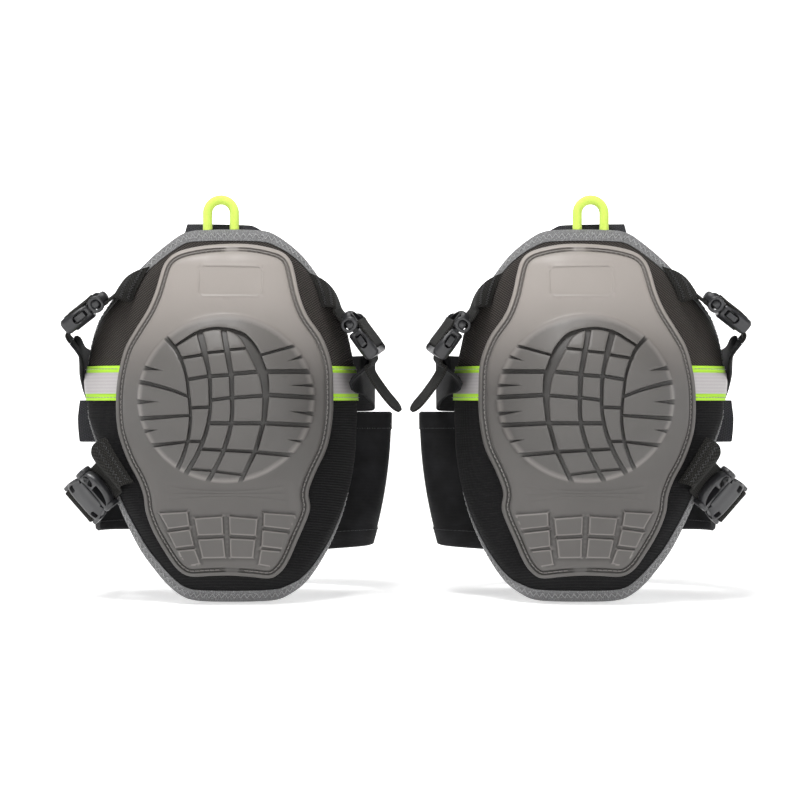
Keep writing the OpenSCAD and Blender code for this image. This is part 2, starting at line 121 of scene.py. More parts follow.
def make_lights():
    world = bpy.data.worlds.new("studio")
    world.use_nodes = True
    background = world.node_tree.nodes["Background"]
    background.inputs["Color"].default_value = (1.0, 1.0, 1.0, 1)
    background.inputs["Strength"].default_value = WORLD_LIGHT
    bpy.context.scene.world = world
    for name, (place, aim, size, power) in LIGHTS.items():
        data = bpy.data.lights.new(name, "AREA")
        data.shape = "RECTANGLE"
        data.size, data.size_y = size
        data.energy = power
        light = new_object(name, data)
        light.location = place
        light.rotation_euler = (Vector(aim) - Vector(place)).to_track_quat("-Z", "Y").to_euler()
    bpy.context.scene.view_settings.view_transform = "Standard"


def make_stage():
    """A round pale floor that curves up into a low wall, and glows a little towards it."""
    floor_z = min(cad_box[0][2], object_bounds()[0][2]) - FLOOR_GAP
    profile = [(r, 0.0) for r in (0.5, 1.2, 3.0, FLOOR_FLAT)]
    profile += [(FLOOR_FLAT + FLOOR_CURVE * math.sin(a), FLOOR_CURVE * (1 - math.cos(a)))
                for a in np.linspace(0.15, math.pi / 2, 10)]
    profile.append((FLOOR_FLAT + FLOOR_CURVE, FLOOR_TOP))
    around = np.linspace(0, 2 * math.pi, FLOOR_SIDES, endpoint=False)
    loops = [[(r * math.cos(a), r * math.sin(a), z + floor_z) for a in around]
             for r, z in profile]
    faces = [tuple(range(FLOOR_SIDES))] + [f[::-1] for f in rings(loops)]
    mesh = new_mesh("floor", sum(loops, []), faces)
    mesh.polygons.foreach_set("use_smooth", [True] * len(faces))
    floor = new_object("floor", mesh)
    s = Shade("floor_white", roughness=0.9)
    x, y, _ = s.split(s.place())
    far = s.math("SQRT", s.math("MULTIPLY_ADD", x, x, s.times(y, y)))
    s.colour((0.9, 0.9, 0.9))
    s.put(s.shader, "Emission Color", (0.95, 0.95, 0.95))
    s.put(s.shader, "Emission Strength", s.ramp(far, 0.8, 3.0, 0.5, 1.0))
    mesh.materials.append(s.material)


# ---- Materials ----
class Shade:
    """A small helper around one material's node tree."""

    def __init__(self, name, roughness=0.6, sheen=0.0, specular=0.5):
        self.material = bpy.data.materials.new(name)
        self.material.use_nodes = True
        self.tree = self.material.node_tree
        self.shader = self.tree.nodes["Principled BSDF"]
        self.put(self.shader, "Roughness", roughness)
        self.put(self.shader, "Specular IOR Level", specular)
        self.put(self.shader, "Sheen Weight", sheen)
        self.put(self.shader, "Sheen Roughness", 0.5)

    def put(self, node, key, value):
        """Give an input of a node a number, a colour or another node's output."""
        if isinstance(value, bpy.types.NodeSocket):
            self.tree.links.new(value, node.inputs[key])
        else:
            node.inputs[key].default_value = (*value, 1) if isinstance(value, tuple) else value

    def node(self, kind, inputs=(), **settings):
        node = self.tree.nodes.new(kind)
        for key, value in settings.items():
            setattr(node, key, value)
        for key, value in dict(inputs).items():
            self.put(node, key, value)
        return node

    def place(self):
        return self.node("ShaderNodeTexCoord").outputs["Object"]

    def cloth(self):
        """Across and along a strap, in millimetres; on the cap, masks of painted shade and painted
        highlight.
        """
        return self.node("ShaderNodeAttribute", attribute_name="cloth").outputs["Vector"]

    def split(self, vector):
        return self.node("ShaderNodeSeparateXYZ", {"Vector": vector}).outputs

    def math(self, operation, *values):
        return self.node("ShaderNodeMath", enumerate(values), operation=operation).outputs[0]

    def plus(self, a, b):
        return self.math("ADD", a, b)

    def minus(self, a, b):
        return self.math("SUBTRACT", a, b)

    def times(self, a, b):
        return self.math("MULTIPLY", a, b)

    def wave(self, value, pitch):
        """0 to 1, once every pitch."""
        turned = self.times(value, 2 * math.pi / pitch)
        return self.math("MULTIPLY_ADD", self.math("SINE", turned), 0.5, 0.5)

    def noise(self, vector, scale, detail):
        return self.node("ShaderNodeTexNoise", {"Vector": vector, "Scale": scale,
                                                "Detail": detail}).outputs["Fac"]

    def ramp(self, value, low, high, a=0.0, b=1.0):
        inputs = {"Value": value, "From Min": low, "From Max": high, "To Min": a, "To Max": b}
        return self.node("ShaderNodeMapRange", inputs,
                         interpolation_type="SMOOTHSTEP").outputs["Result"]

    def blend(self, factor, a, b):
        return self.node("ShaderNodeMix", {0: factor, 6: a, 7: b}, data_type="RGBA").outputs[2]

    def colour(self, value):
        self.put(self.shader, "Base Color", value)

    def bump(self, height, distance, strength):
        node = self.node("ShaderNodeBump", {"Height": height, "Distance": distance,
                                            "Strength": strength})
        self.put(self.shader, "Normal", node.outputs["Normal"])


def linear(r, g, b):
    """A colour given as 0-255 screen values."""
    return tuple(c / 255 / 12.92 if c / 255 < 0.04045 else ((c / 255 + 0.055) / 1.055) ** 2.4
                 for c in (r, g, b))


def rubber_material():
    """Moulded rubber, with its top painted lighter and its foot painted darker as light from above
    falls on them, painted shade in its grooves and over its tread, and painted highlights on its
    lips.
    """
    s = Shade("cap_rubber", roughness=0.5, specular=0.35)
    at = s.place()
    cloud = s.noise(at, 22, 3)
    low = s.blend(cloud, linear(78, 76, 74), linear(86, 83, 81))
    high = s.blend(cloud, linear(133, 127, 122), linear(143, 137, 132))
    # Painted light and shade: lighter towards the top, darker towards the foot.
    base = s.blend(s.ramp(s.split(at)[2], 0.0, 0.085), low, high)
    # Painted shade in the grooves and over the tread, and a painted highlight on the lips.
    hollow, lip, tread = s.split(s.cloth())
    for amount, share, shade in ((tread, 0.75, (80, 78, 76)), (hollow, 0.62, (38, 37, 36)),
                                 (lip, 0.3, (170, 164, 160))):
        base = s.blend(s.times(amount, share), base, linear(*shade))
    s.colour(base)
    s.put(s.shader, "Roughness", s.ramp(s.noise(at, 90, 4), 0.3, 0.7, 0.46, 0.56))
    s.bump(s.noise(at, 1500, 2), 0.00012, 0.35)
    return s.material


def cover_material():
    """Fine level ribs below the band, a coarse slanting knit above it."""
    s = Shade("cover_fabric", roughness=0.85, sheen=0.02, specular=0.12)
    at = s.place()
    x, y, z = s.split(at)
    cross = s.wave(s.plus(x, y), 0.0014)
    fine = s.times(s.wave(z, 0.0011), s.math("MULTIPLY_ADD", cross, 0.3, 0.7))
    out = s.math("ABSOLUTE", x)
    weft = s.wave(s.minus(out, s.times(z, 0.5)), 0.0016)
    knit = s.times(s.wave(s.plus(s.times(out, 0.75), z), 0.0017),
                   s.math("MULTIPLY_ADD", weft, 0.45, 0.55))
    upper = s.ramp(z, 0.020, 0.024)
    low = s.blend(fine, linear(7, 7, 8), linear(22, 22, 23))
    high = s.blend(knit, linear(30, 28, 26), linear(74, 69, 66))
    fleck = s.ramp(s.noise(at, 900, 2), 0.45, 0.75, 0.0, 0.3)
    s.colour(s.blend(fleck, s.blend(upper, low, high), linear(40, 38, 38)))
    s.bump(s.plus(s.times(knit, upper), s.times(fine, s.minus(1.0, upper))), 0.0005, 0.8)
    return s.material


def tape_material():
    s = Shade("edge_tape", roughness=0.9, sheen=0.08, specular=0.2)
    across, along, _ = s.split(s.cloth())
    weave = s.times(s.wave(along, 0.9), s.wave(across, 1.0))
    fleck = s.noise(s.place(), 1300, 3)
    base = s.blend(weave, linear(84, 84, 84), linear(140, 140, 141))
    s.colour(s.blend(s.ramp(fleck, 0.5, 0.72, 0.0, 0.5), base, linear(176, 176, 179)))
    s.bump(s.plus(weave, fleck), 0.0003, 0.7)
    return s.material


def webbing_material(name, dark, light, pitch=1.5, weft=1.25):
    """Woven webbing: ribs across it, broken by the warp."""
    s = Shade(name, roughness=0.8, sheen=0.02, specular=0.15)
    across, along, _ = s.split(s.cloth())
    shift = s.times(s.math("FLOOR", s.math("DIVIDE", across, weft)), pitch / 2)
    ribs = s.wave(s.plus(along, shift), pitch)
    weave = s.times(ribs, s.math("MULTIPLY_ADD", s.wave(across, weft), 0.5, 0.5))
    fleck = s.ramp(s.noise(s.place(), 1100, 2), 0.5, 0.8, 0.0, 0.25)
    s.colour(s.blend(fleck, s.blend(weave, dark, light), light))
    s.bump(weave, 0.0004, 0.9)
    return s.material


def elastic_material():
    """Smooth stretch fabric with a very fine knit."""
    s = Shade("elastic", roughness=0.75, sheen=0.02, specular=0.15)
    across, along, _ = s.split(s.cloth())
    knit = s.times(s.wave(across, 0.8), s.wave(along, 0.8))
    cloud = s.ramp(s.noise(s.place(), 60, 3), 0.35, 0.75, 0.0, 0.4)
    base = s.blend(knit, linear(13, 13, 14), linear(24, 24, 25))
    s.colour(s.blend(cloud, base, linear(38, 38, 41)))
    s.bump(knit, 0.0002, 0.6)
    return s.material


def plastic_material():
    s = Shade("buckle_plastic", roughness=0.34, specular=0.55)
    at = s.place()
    s.colour(s.blend(s.noise(at, 60, 3), linear(30, 30, 32), linear(42, 42, 44)))
    s.put(s.shader, "Roughness", s.ramp(s.noise(at, 300, 3), 0.3, 0.7, 0.28, 0.4))
    s.bump(s.noise(at, 2200, 2), 0.00004, 0.4)
    return s.material


def hi_vis_material():
    s = Shade("hi_vis", roughness=0.75, sheen=0.2, specular=0.3)
    ribs = s.wave(s.split(s.place())[2], 0.0009)
    s.colour(s.blend(ribs, linear(150, 200, 38), linear(182, 230, 58)))
    s.bump(ribs, 0.0002, 0.7)
    return s.material


def silver_material():
    """Retro-reflective tape: grey, with a fine bead grain and faint level lines."""
    s = Shade("reflective", roughness=0.45, specular=0.6)
    at = s.place()
    beads = s.noise(at, 3000, 2)
    lines = s.wave(s.split(at)[2], 0.0022)
    base = s.blend(beads, linear(150, 146, 146), linear(182, 178, 178))
    s.colour(s.blend(s.times(lines, 0.35), base, linear(140, 137, 138)))
    s.put(s.shader, "Metallic", 0.25)
    s.bump(beads, 0.0001, 0.5)
    return s.material


def liner_material():
    """A soft spacer mesh with small holes."""
    s = Shade("liner_fabric", roughness=0.9, sheen=0.35, specular=0.2)
    x, _, z = s.split(s.place())
    holes = s.times(s.wave(s.plus(x, z), 0.0032), s.wave(s.minus(x, z), 0.0032))
    s.colour(s.blend(s.ramp(holes, 0.35, 0.75), linear(44, 44, 46), linear(17, 17, 18)))
    s.bump(s.minus(1.0, s.ramp(holes, 0.35, 0.8)), 0.0006, 0.8)
    return s.material


def grained_material(name, scale, detail, dark, light, bump=None, **look):
    """A material with one fine grain, which may stand out a little as well."""
    s = Shade(name, **look)
    grain = s.noise(s.place(), scale, detail)
    s.colour(s.blend(grain, dark, light))
    if bump:
        s.bump(grain, *bump)
    return s.material


def cord_material():
    return grained_material("hi_vis_cord", 1500, 2, linear(176, 204, 70), linear(202, 224, 104),
                            (0.0003, 0.6), roughness=0.8, sheen=0.3, specular=0.3)


def foam_material():
    return grained_material("foam", 900, 3, linear(40, 40, 42), linear(62, 62, 64),
                            (0.0003, 0.6), roughness=0.95, specular=0.2)


def gel_material():
    return grained_material("gel", 40, 2, linear(70, 110, 150), linear(100, 150, 190),
                            roughness=0.25, specular=0.5)


def thread_material(name, colour):
    return grained_material(name, 2600, 1, tuple(0.75 * c for c in colour), colour,
                            roughness=0.7, sheen=0.2)


# ---- The pad's surface ----
# The leg's hollow: half widths on the outer and the inner side, and its depth in front.
HOLLOW_OUT, HOLLOW_IN, HOLLOW_FRONT = 92.0, 68.0, 62.0
PAD_TOP, PAD_BOTTOM = 114.0, 133.0
LINER, FOAM, FOAM_EDGE, COVER, GEL, CAP = 2.0, 14.0, 5.0, 2.0, 6.0, 3.5     # thicknesses
DOME = 7.0              # height of the cap's dome with its tread
BETWEEN = 0.15          # left free between one layer and the next
PER_DEGREE = 1.45       # millimetres across the pad for each degree round the leg
# How far the pad bows back towards the leg, at which distance above and below the knee.
BOW_UP, BOW_DOWN = (20, 112), (25, 130)
# The dome over the kneecap: height of its middle, half its width and its height, and the
# distance from the leg's middle at which that width is measured.
DOME_Z, DOME_R, DOME_OUT = 2, (58, 56), 90
# The pad's edge, from its bottom up: height, then the angle on the outer and on the inner side.
RIM = np.array([
    (-133, -16, 25.5), (-130, -19, 30), (-124, -24, 39), (-113, -30, 48), (-100, -36.5, 57),
    (-87, -41.5, 65), (-74, -46.5, 73), (-62, -51, 80), (-50, -56, 86), (-30, -63, 92),
    (-10, -74, 95), (14, -77, 93), (34, -72, 85), (45, -67.5, 80), (56, -62, 73.5),
    (64, -56, 67), (72, -50, 60), (84, -40.5, 50), (97, -31, 40), (107, -23, 29.5),
    (112, -18.7, 22.8), (114, -17, 20.5),
], float)


def mix(a, b, t):
    return a + (b - a) * t


def smooth(t):
    t = np.clip(t, 0, 1)
    return t * t * (3 - 2 * t)


def sin(a):
    return np.sin(np.radians(a))


def cos(a):
    return np.cos(np.radians(a))


def unit(v):
    v = np.asarray(v, float)
    return v / np.maximum(np.linalg.norm(v, axis=-1, keepdims=True), 1e-9)


def half_width(a):
    """Half the hollow's width, which is larger on the outer side."""
    return mix(HOLLOW_OUT, HOLLOW_IN, smooth((a + 12) / 24))


def on_pad(a, z, h):
    """A point at an angle round the leg, a height, and a distance out from the liner's face."""
    a, z = np.asarray(a, float), np.asarray(z, float)
    bow = np.where(z > 0, BOW_UP[0] * (z / BOW_UP[1]) ** 2, BOW_DOWN[0] * (z / BOW_DOWN[1]) ** 2)
    return np.stack([(half_width(a) + h) * sin(a), bow - (HOLLOW_FRONT + h) * cos(a), z + 0 * a],
                    axis=-1)


def rim_angle(z, side):
    return np.interp(z, RIM[:, 0], RIM[:, 1 + side])


def fullness(a, z):
    """0 at the pad's edge to 1 where its foam is at its thickest."""
    across = np.minimum(a - rim_angle(z, 0), rim_angle(z, 1) - a) * PER_DEGREE
    up = np.minimum(PAD_TOP - z, z + PAD_BOTTOM)
    return smooth((np.minimum(across, up) + 2) / 26)


def dome(a, z):
    """1 in the middle of the dome, 0 outside it."""
    r = np.hypot(DOME_OUT * sin(a) / DOME_R[0], (z - DOME_Z) / DOME_R[1])
    return 1 - smooth((r - 0.45) / 0.6)


def foam_h(a, z):
    return LINER + BETWEEN + mix(FOAM_EDGE, FOAM, fullness(a, z))


def cover_low(a, z):
    return foam_h(a, z) + BETWEEN + GEL * dome(a, z)


def cover_high(a, z):
    return cover_low(a, z) + COVER


def travelled(path):
    """How far along a path each of its points is."""
    return np.r_[0, np.cumsum(np.linalg.norm(np.diff(path, axis=0), axis=1))]


def looked_up(t, run, rows):
    """Rows of numbers at places t, where run says the place of each row that is known."""
    return np.stack([np.interp(t, run, column) for column in np.asarray(rows).T], axis=1)


def spline(points, count, closed):
    """count points evenly spaced along a Catmull-Rom curve through points."""
    p = np.asarray(points, float)
    n = len(p)
    t = np.linspace(0, 1, 24, endpoint=False)[:, None]
    fine = []
    for i in range(n if closed else n - 1):
        near = [(i + k) % n if closed else min(max(i + k, 0), n - 1) for k in (-1, 0, 1, 2)]
        a, b, c, d = p[near]
        fine.append(0.5 * (2 * b + (c - a) * t + (2 * a - 5 * b + 4 * c - d) * t ** 2
                           + (3 * b - a - 3 * c + d) * t ** 3))
    fine = np.vstack(fine + [p[:1] if closed else p[-1:]])
    run = travelled(fine[:, :2])
    return looked_up(np.linspace(0, run[-1], count, endpoint=not closed), run, fine)


def resampled(points, step):
    p = np.asarray(points, float)
    return spline(p, max(2, int(round(travelled(p[:, :2])[-1] / step)) + 1), False)


def inward(loop):
    """Inward unit normals of a closed loop that runs anticlockwise."""
    d = np.roll(loop, -1, axis=0) - np.roll(loop, 1, axis=0)
    return unit(np.stack([-d[:, 1], d[:, 0]], axis=1))


def softened(values, passes):
    for _ in range(passes):
        values = (np.roll(values, 1, axis=0) + 2 * values + np.roll(values, -1, axis=0)) / 4
    return values


def rim_loop(count):
    """The pad's edge as a closed anticlockwise loop of (angle in mm across, height)."""
    table = np.vstack([RIM[::-1][:, [1, 0]], [(4, -133.5)], RIM[:, [2, 0]], [(2, 114.6)]])
    return softened(spline(table * (PER_DEGREE, 1), count, True), 24)


RIM_COUNT = 480
LAYER_MIDDLE = np.array((4.0, -6.0))     # the angle and height that a layer closes in on
RIM_LOOP = rim_loop(RIM_COUNT)
RIM_IN = softened(inward(RIM_LOOP), 6)


def rim_at(inset):
    """Angles and heights of the edge moved inwards."""
    p = RIM_LOOP + inset * RIM_IN
    return p[:, 0] / PER_DEGREE, p[:, 1]


# ---- Making meshes ----
class Shape:
    """Vertices in millimetres in the pad's own frame, faces, and cloth coordinates."""

    def __init__(self):
        self.verts, self.faces, self.cloth = [], [], []

    def add(self, verts, faces, cloth=None):
        start = len(self.verts)
        self.verts.extend(np.asarray(verts, float).reshape(-1, 3).tolist())
        self.faces.extend([tuple(i + start for i in f) for f in faces])
        if cloth is None:
            cloth = np.zeros((len(self.verts) - start, 3))
        self.cloth.extend(np.asarray(cloth, float).reshape(-1, 3).tolist())
        return self

    def join(self, other):
        return self.add(other.verts, other.faces, other.cloth)


def rings(loops, joined=False):
    """Faces between rings of the same number of points; joined: from the last to the first too."""
    n, m = len(loops), len(loops[0])
    return [(r * m + i, r * m + (i + 1) % m, (r + 1) % n * m + (i + 1) % m, (r + 1) % n * m + i)
            for r in range(n if joined else n - 1) for i in range(m)]


def loft(loops, shape=None):
    """A skin over rings of the same number of points, closed by a face at each end."""
    n, total = len(loops[0]), len(loops) * len(loops[0])
    ends = [tuple(range(n))[::-1], tuple(range(total - n, total))]
    return (shape or Shape()).add(np.vstack(loops), rings(loops) + ends)


def welded(mesh, gap):
    """A mesh to work on, its double points merged and its faces turned outwards."""
    bm = bmesh.new()
    bm.from_mesh(mesh)
    bmesh.ops.remove_doubles(bm, verts=bm.verts, dist=gap)
    bmesh.ops.recalc_face_normals(bm, faces=bm.faces)
    return bm


def make(name, shape, material, side, body, stands_for=(), sharp=50):
    """One side's object from a shape; body None leaves it unattached."""
    verts, faces = np.array(shape.verts), shape.faces
    verts[:, 0] -= PAD_X
    if side == "right":
        verts[:, 0] *= -1
        faces = [f[::-1] for f in faces]
    mesh = new_mesh(f"{side}_{name}", (verts * MM).tolist(), faces)
    layer = mesh.attributes.new("cloth", "FLOAT_VECTOR", "POINT")
    layer.data.foreach_set("vector", np.array(shape.cloth, np.float32).ravel())
    bm = welded(mesh, 1e-6)
    for face in bm.faces:
        face.smooth = True
    for edge in bm.edges:
        edge.smooth = not edge.is_manifold or edge.calc_face_angle(0) < math.radians(sharp)
    bm.to_mesh(mesh)
    bm.free()
    mesh.materials.append(material)
    piece = new_object(f"{side}_{name}", mesh)
    if body:
        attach(piece, f"{side}_{body}")
    for node in stands_for:
        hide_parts(f"{side}_{node}")
    return piece


def make_pair(name, shape, material, body, stands_for=(), sharp=50):
    return [make(name, shape, material, side, body, stands_for, sharp) for side in SIDES]


def layer(inset, low, high, rows):
    """A closed slab of the pad between two heights, out to inset from its edge."""
    a0, z0 = rim_at(inset)
    steps = 1 - (1 - np.linspace(0, 1, rows)[:-1]) ** 1.35
    az = [(mix(a0, LAYER_MIDDLE[0], t), mix(z0, LAYER_MIDDLE[1], t)) for t in steps]
    out, inn = ([on_pad(a, z, height(a, z)) for a, z in az] for height in (high, low))
    cloth = [np.stack([a * PER_DEGREE, z, 0 * a], axis=1) for a, z in az]
    tips = [on_pad(*LAYER_MIDDLE, height(*LAYER_MIDDLE)) for height in (low, high)]
    loops = inn[::-1] + out
    m, last = RIM_COUNT, len(loops) * RIM_COUNT
    faces = rings(loops) + [(last, (i + 1) % m, i) for i in range(m)]
    faces += [(last + 1, last - m + i, last - m + (i + 1) % m) for i in range(m)]
    return Shape().add(np.vstack(loops + [tips]), faces,
                       np.vstack(cloth[::-1] + cloth + [np.zeros((2, 3))]))


def directions(grid):
    """Along, across and out of a sheet at each point of its grid."""
    along, across = np.gradient(grid, axis=0), np.gradient(grid, axis=1)
    return along, across, unit(np.cross(across, along))


def slab(grid, t, shape=None):
    """A sheet of thickness t about a grid of points, with rounded long edges."""
    grid = np.asarray(grid, float)
    n, m = grid.shape[:2]
    _, across, normal = directions(grid)
    t = np.broadcast_to(np.asarray(t, float), (n, m))[..., None]
    top, bottom = grid + normal * t / 2, grid - normal * t / 2
    side0 = grid[:, 0] - unit(across[:, 0]) * t[:, 0] * 0.4
    side1 = grid[:, -1] + unit(across[:, -1]) * t[:, -1] * 0.4
    ring = np.concatenate([top, side1[:, None], bottom[:, ::-1], side0[:, None]], axis=1)
    width, run = travelled(grid[n // 2]), travelled(grid[:, m // 2])
    w = np.concatenate([width, width[-1:], width[::-1], width[:1]])
    cloth = np.stack(np.broadcast_arrays(w[None, :], run[:, None], 0.0), axis=-1)
    faces = rings(ring)
    for row, turn in ((0, 1), (n - 1, -1)):
        s = row * ring.shape[1]
        ends = [(s + j, s + j + 1, s + 2 * m - j - 1, s + 2 * m - j) for j in range(m - 1)]
        ends += [(s + m - 1, s + m, s + m + 1), (s + 2 * m, s + 2 * m + 1, s)]
        faces += [f[::turn] for f in ends]
    return (shape or Shape()).add(ring, faces, cloth)


def tube(path, radius, shape=None, sides=6):
    """A round thread or cord along a path."""
    path = np.asarray(path, float)
    along = unit(np.gradient(path, axis=0))
    side = np.cross(along[0], (0.0, 0.0, 1.0) if abs(along[0][2]) < 0.9 else (1.0, 0.0, 0.0))
    angle = np.linspace(0, 2 * np.pi, sides, endpoint=False)[:, None]
    loops = []
    for p, d in zip(path, along):
        side = unit(side - np.dot(side, d) * d)
        loops.append(p + radius * (np.cos(angle) * side + np.sin(angle) * np.cross(d, side)))
    return loft(loops, shape)


def stitches(path, normals, length, gap, radius, lift, shape=None):
    """Thread along a path, over and under: each stitch is a short arched tube."""
    run = travelled(path)
    arch = np.array([-1.0, 0.5, 1.0, 0.5, -1.0])[:, None] * lift
    shape = shape or Shape()
    at = 0.0
    while at + length < run[-1]:
        t = np.linspace(at, at + length, 5)
        tube(looked_up(t, run, path) + unit(looked_up(t, run, normals)) * arch, radius, shape, 5)
        at += length + gap
    return shape


# ---- The cap ----
# Its outline seen from the front, anticlockwise: across and up, in millimetres.
CAP_OUTLINE = [
    (3, 105), (-14, 104), (-28, 101.5), (-36.5, 98), (-42, 92), (-45, 83), (-48, 72), (-53, 60.5),
    (-61, 48), (-68.5, 35), (-73, 17), (-74.4, -1), (-73, -20), (-66.5, -38.5), (-59.5, -51),
    (-55.5, -62), (-54.3, -73), (-48.5, -88), (-37.5, -106.5), (-31.5, -113), (-25, -116),
    (-12, -115.4), (1, -115), (15, -116), (28, -117.5), (34.5, -114), (40, -107), (46.8, -92),
    (55, -72), (54.2, -60), (59, -46.5), (66.5, -30), (70, -10.5), (70.4, 8), (69.3, 26),
    (63.3, 43), (53.5, 57.5), (48.4, 70.5), (45.2, 84.5), (42.5, 93.5), (37.5, 99), (30, 102),
    (17, 104.5),
]
PLATEAU = 3.2           # height of the tread above the cap's face
TREAD_AT = (0.4, 2.1)
TREAD_R = (57.6, 55.4)
TREAD_MEAN = 56.5
# The tread's edge: distance in from it, share of the plateau's height.
TREAD_EDGE = [(-1.2, 0.0), (0.0, 0.05), (0.7, 0.3), (1.7, 0.62), (3.0, 0.86), (4.6, 0.97),
              (6.2, 1.0)]
# Grooves in the tread: points along each, with the groove's width at each point.
GROOVES = [
    # long curved grooves from top to bottom
    [(-42, 45.5, 3.2), (-31.8, 35.6, 2.9), (-26.9, 27.3, 2.4), (-23.5, 17.4, 2.1),
     (-21.9, 6.6, 2.2), (-20.9, -2.5, 2.2), (-20.6, -12.5, 2.3), (-22.3, -24.1, 2.4),
     (-25.2, -32.4, 2.6), (-28.5, -39.8, 2.8), (-34.5, -50, 3.0)],
    [(-31, 36.5, 2.0), (-25.2, 40.2, 2.2), (-18.6, 44.3, 2.4), (-11.9, 46.7, 2.3),
     (-5.3, 47.7, 2.2), (1.3, 47.2, 2.3), (7.1, 45.6, 3.0), (12.9, 42.0, 5.0), (18.7, 33.6, 7.2),
     (22.9, 24.8, 6.8), (26.2, 16.0, 6.0), (27.3, 4.9, 4.6), (26.9, -4.2, 3.7), (26.2, -11.6, 3.4),
     (24.8, -17.4, 3.0), (20.8, -30.7, 3.0), (18.6, -35, 3.0), (13.3, -45.6, 2.9),
     (8.6, -55, 2.8)],
    [(-15.6, 44.6, 4.5), (-12.6, 35.5, 4.4), (-11.1, 29, 3.6), (-9.6, 23.2, 3.0),
     (-8.2, 14.9, 2.8), (-7.8, 6.6, 2.5), (-7.8, -4.2, 2.4), (-9, -12.5, 2.5), (-10.7, -19.9, 2.8),
     (-13.6, -27.4, 3.0), (-16.9, -34, 3.0), (-21.1, -40.7, 3.1), (-28, -51, 3.1)],
    [(-0.2, 46.6, 3.9), (1.3, 38.9, 3.7), (3, 31.5, 3.9), (4.5, 23.2, 3.6), (5.6, 16.6, 3.6),
     (5.9, 8.3, 3.2), (6.2, -4.2, 2.7), (5.6, -12.5, 2.8), (4.2, -19.9, 2.9), (1.3, -29, 3.0),
     (-1.6, -35.7, 2.8), (-5.3, -42.3, 2.9), (-8.2, -47.3, 3.0), (-13, -55, 3.0)],
    # short ones across, from the outer column in
    [(-27.8, 28.1, 2.3), (-14, 30.3, 2.3)], [(-22.4, 14.4, 2.5), (-9, 16.7, 2.5)],
    [(-20.8, -3.8, 2.3), (-8, -3.3, 2.3)], [(-22, -25.3, 2.2), (-13, -25.3, 2.2)],
    [(-11.4, 31.5, 2.1), (1.8, 32.8, 2.1)], [(-8.4, 16.5, 2.7), (5.4, 17.4, 2.7)],
    [(-7.6, 1.1, 2.4), (5.9, 2.9, 2.4)], [(-9, -13.7, 2.8), (26, -13.7, 2.9)],
    [(-14.5, -30.2, 2.3), (21.2, -32.2, 2.5)], [(-22.8, -43.4, 2.0), (-6, -44.6, 2.0)],
    [(3.4, 33.5, 2.1), (17.4, 35, 2.1)], [(5.4, 18, 2.9), (24, 19.6, 2.9)],
    [(6, 2.6, 2.6), (26.4, 4.2, 2.6)], [(-7, -44.7, 2.1), (13, -47.4, 2.1)],
    # from the right-hand long groove out to the tread's edge
    [(21.5, 29.5, 2.0), (47, 37.5, 2.2)], [(26, 19.5, 3.2), (57, 20, 3.5)],
    [(28, 4.6, 3.0), (60, 2.8, 3.4)], [(26, -13.6, 3.0), (60, -15.6, 3.3)],
    [(20, -32.3, 2.6), (56, -36.2, 3.2)],
    # from the left-hand one
    [(-60, 13.6, 3.2), (-52, 12.5, 3.0), (-42.6, 10.4, 2.8), (-31.8, 7.3, 2.4), (-21.8, 3.4, 2.2)],
    [(-60, -11.1, 3.2), (-21, -8.6, 2.0)], [(-58, -29.6, 3.2), (-22.6, -25.5, 1.9)],
    # notches in its rim
    [(-57, 22.9, 4.6), (-39.5, 20.4, 0.1)], [(-61, 0.0, 4.6), (-42.6, 0.2, 0.1)],
    [(-60, -20.3, 4.6), (-43, -17.9, 0.1)],
    [(54, 31.4, 3.6), (41.1, 26.7, 0.1)], [(61, 10.8, 3.2), (43.2, 10.9, 0.1)],
    [(61, -8.4, 4.0), (42.8, -6, 0.1)], [(60, -27.6, 4.6), (41.1, -24.5, 0.1)],
]
# Raised blocks of the lower tread: the corners of each.
BLOCKS = [
    [(-44, -73.0), (-24.6, -71.6), (-23.3, -81.6), (-38.4, -83.8)],
    [(-38.8, -85.6), (-23.2, -83.2), (-20.8, -94.6), (-33.6, -96.4)],
    [(-32.8, -97.6), (-20.4, -96.4), (-17, -107), (-27, -109.2)],
    [(-20.6, -75.9), (-1.6, -74.4), (-1.4, -87.2), (-18.7, -87.9)],
    [(-18.7, -90.1), (-1.3, -89.0), (-0.4, -102.8), (-16.1, -103.2)],
    [(1.9, -74.4), (20.9, -76.3), (19.6, -88.2), (2.2, -87.1)],
    [(2.2, -89.0), (19.2, -90.1), (17.5, -103.2), (2.2, -102.8)],
    [(24.2, -72.2), (45.9, -74.4), (41.8, -84.6), (23.8, -81.9)],
    [(23.1, -83.8), (41.4, -86.4), (36.9, -97.6), (22.4, -95.3)],
    [(22.0, -96.8), (35.8, -98.6), (31.3, -109.9), (20.1, -107.6)],
]
BLOCK_RISE = 1.7
BLOCK_EDGE = [(-0.1, 0), (0.15, 0.55), (0.7, 0.93), (1.4, 1)]     # distance in, share of the rise
BADGE = [(-17.6, 69.6), (23.2, 69.6), (23.6, 89.0), (-17.6, 89.6)]
BADGE_EDGE = [(-0.9, 0), (-0.45, 0.22), (0, 0.1), (0.6, -0.5), (1.2, -0.55)]     # in, height
RIDGES = [(-58.5, 0.0022), (-62.0, -0.0022), (-60.3, 0.0)]        # height of each, how it curls
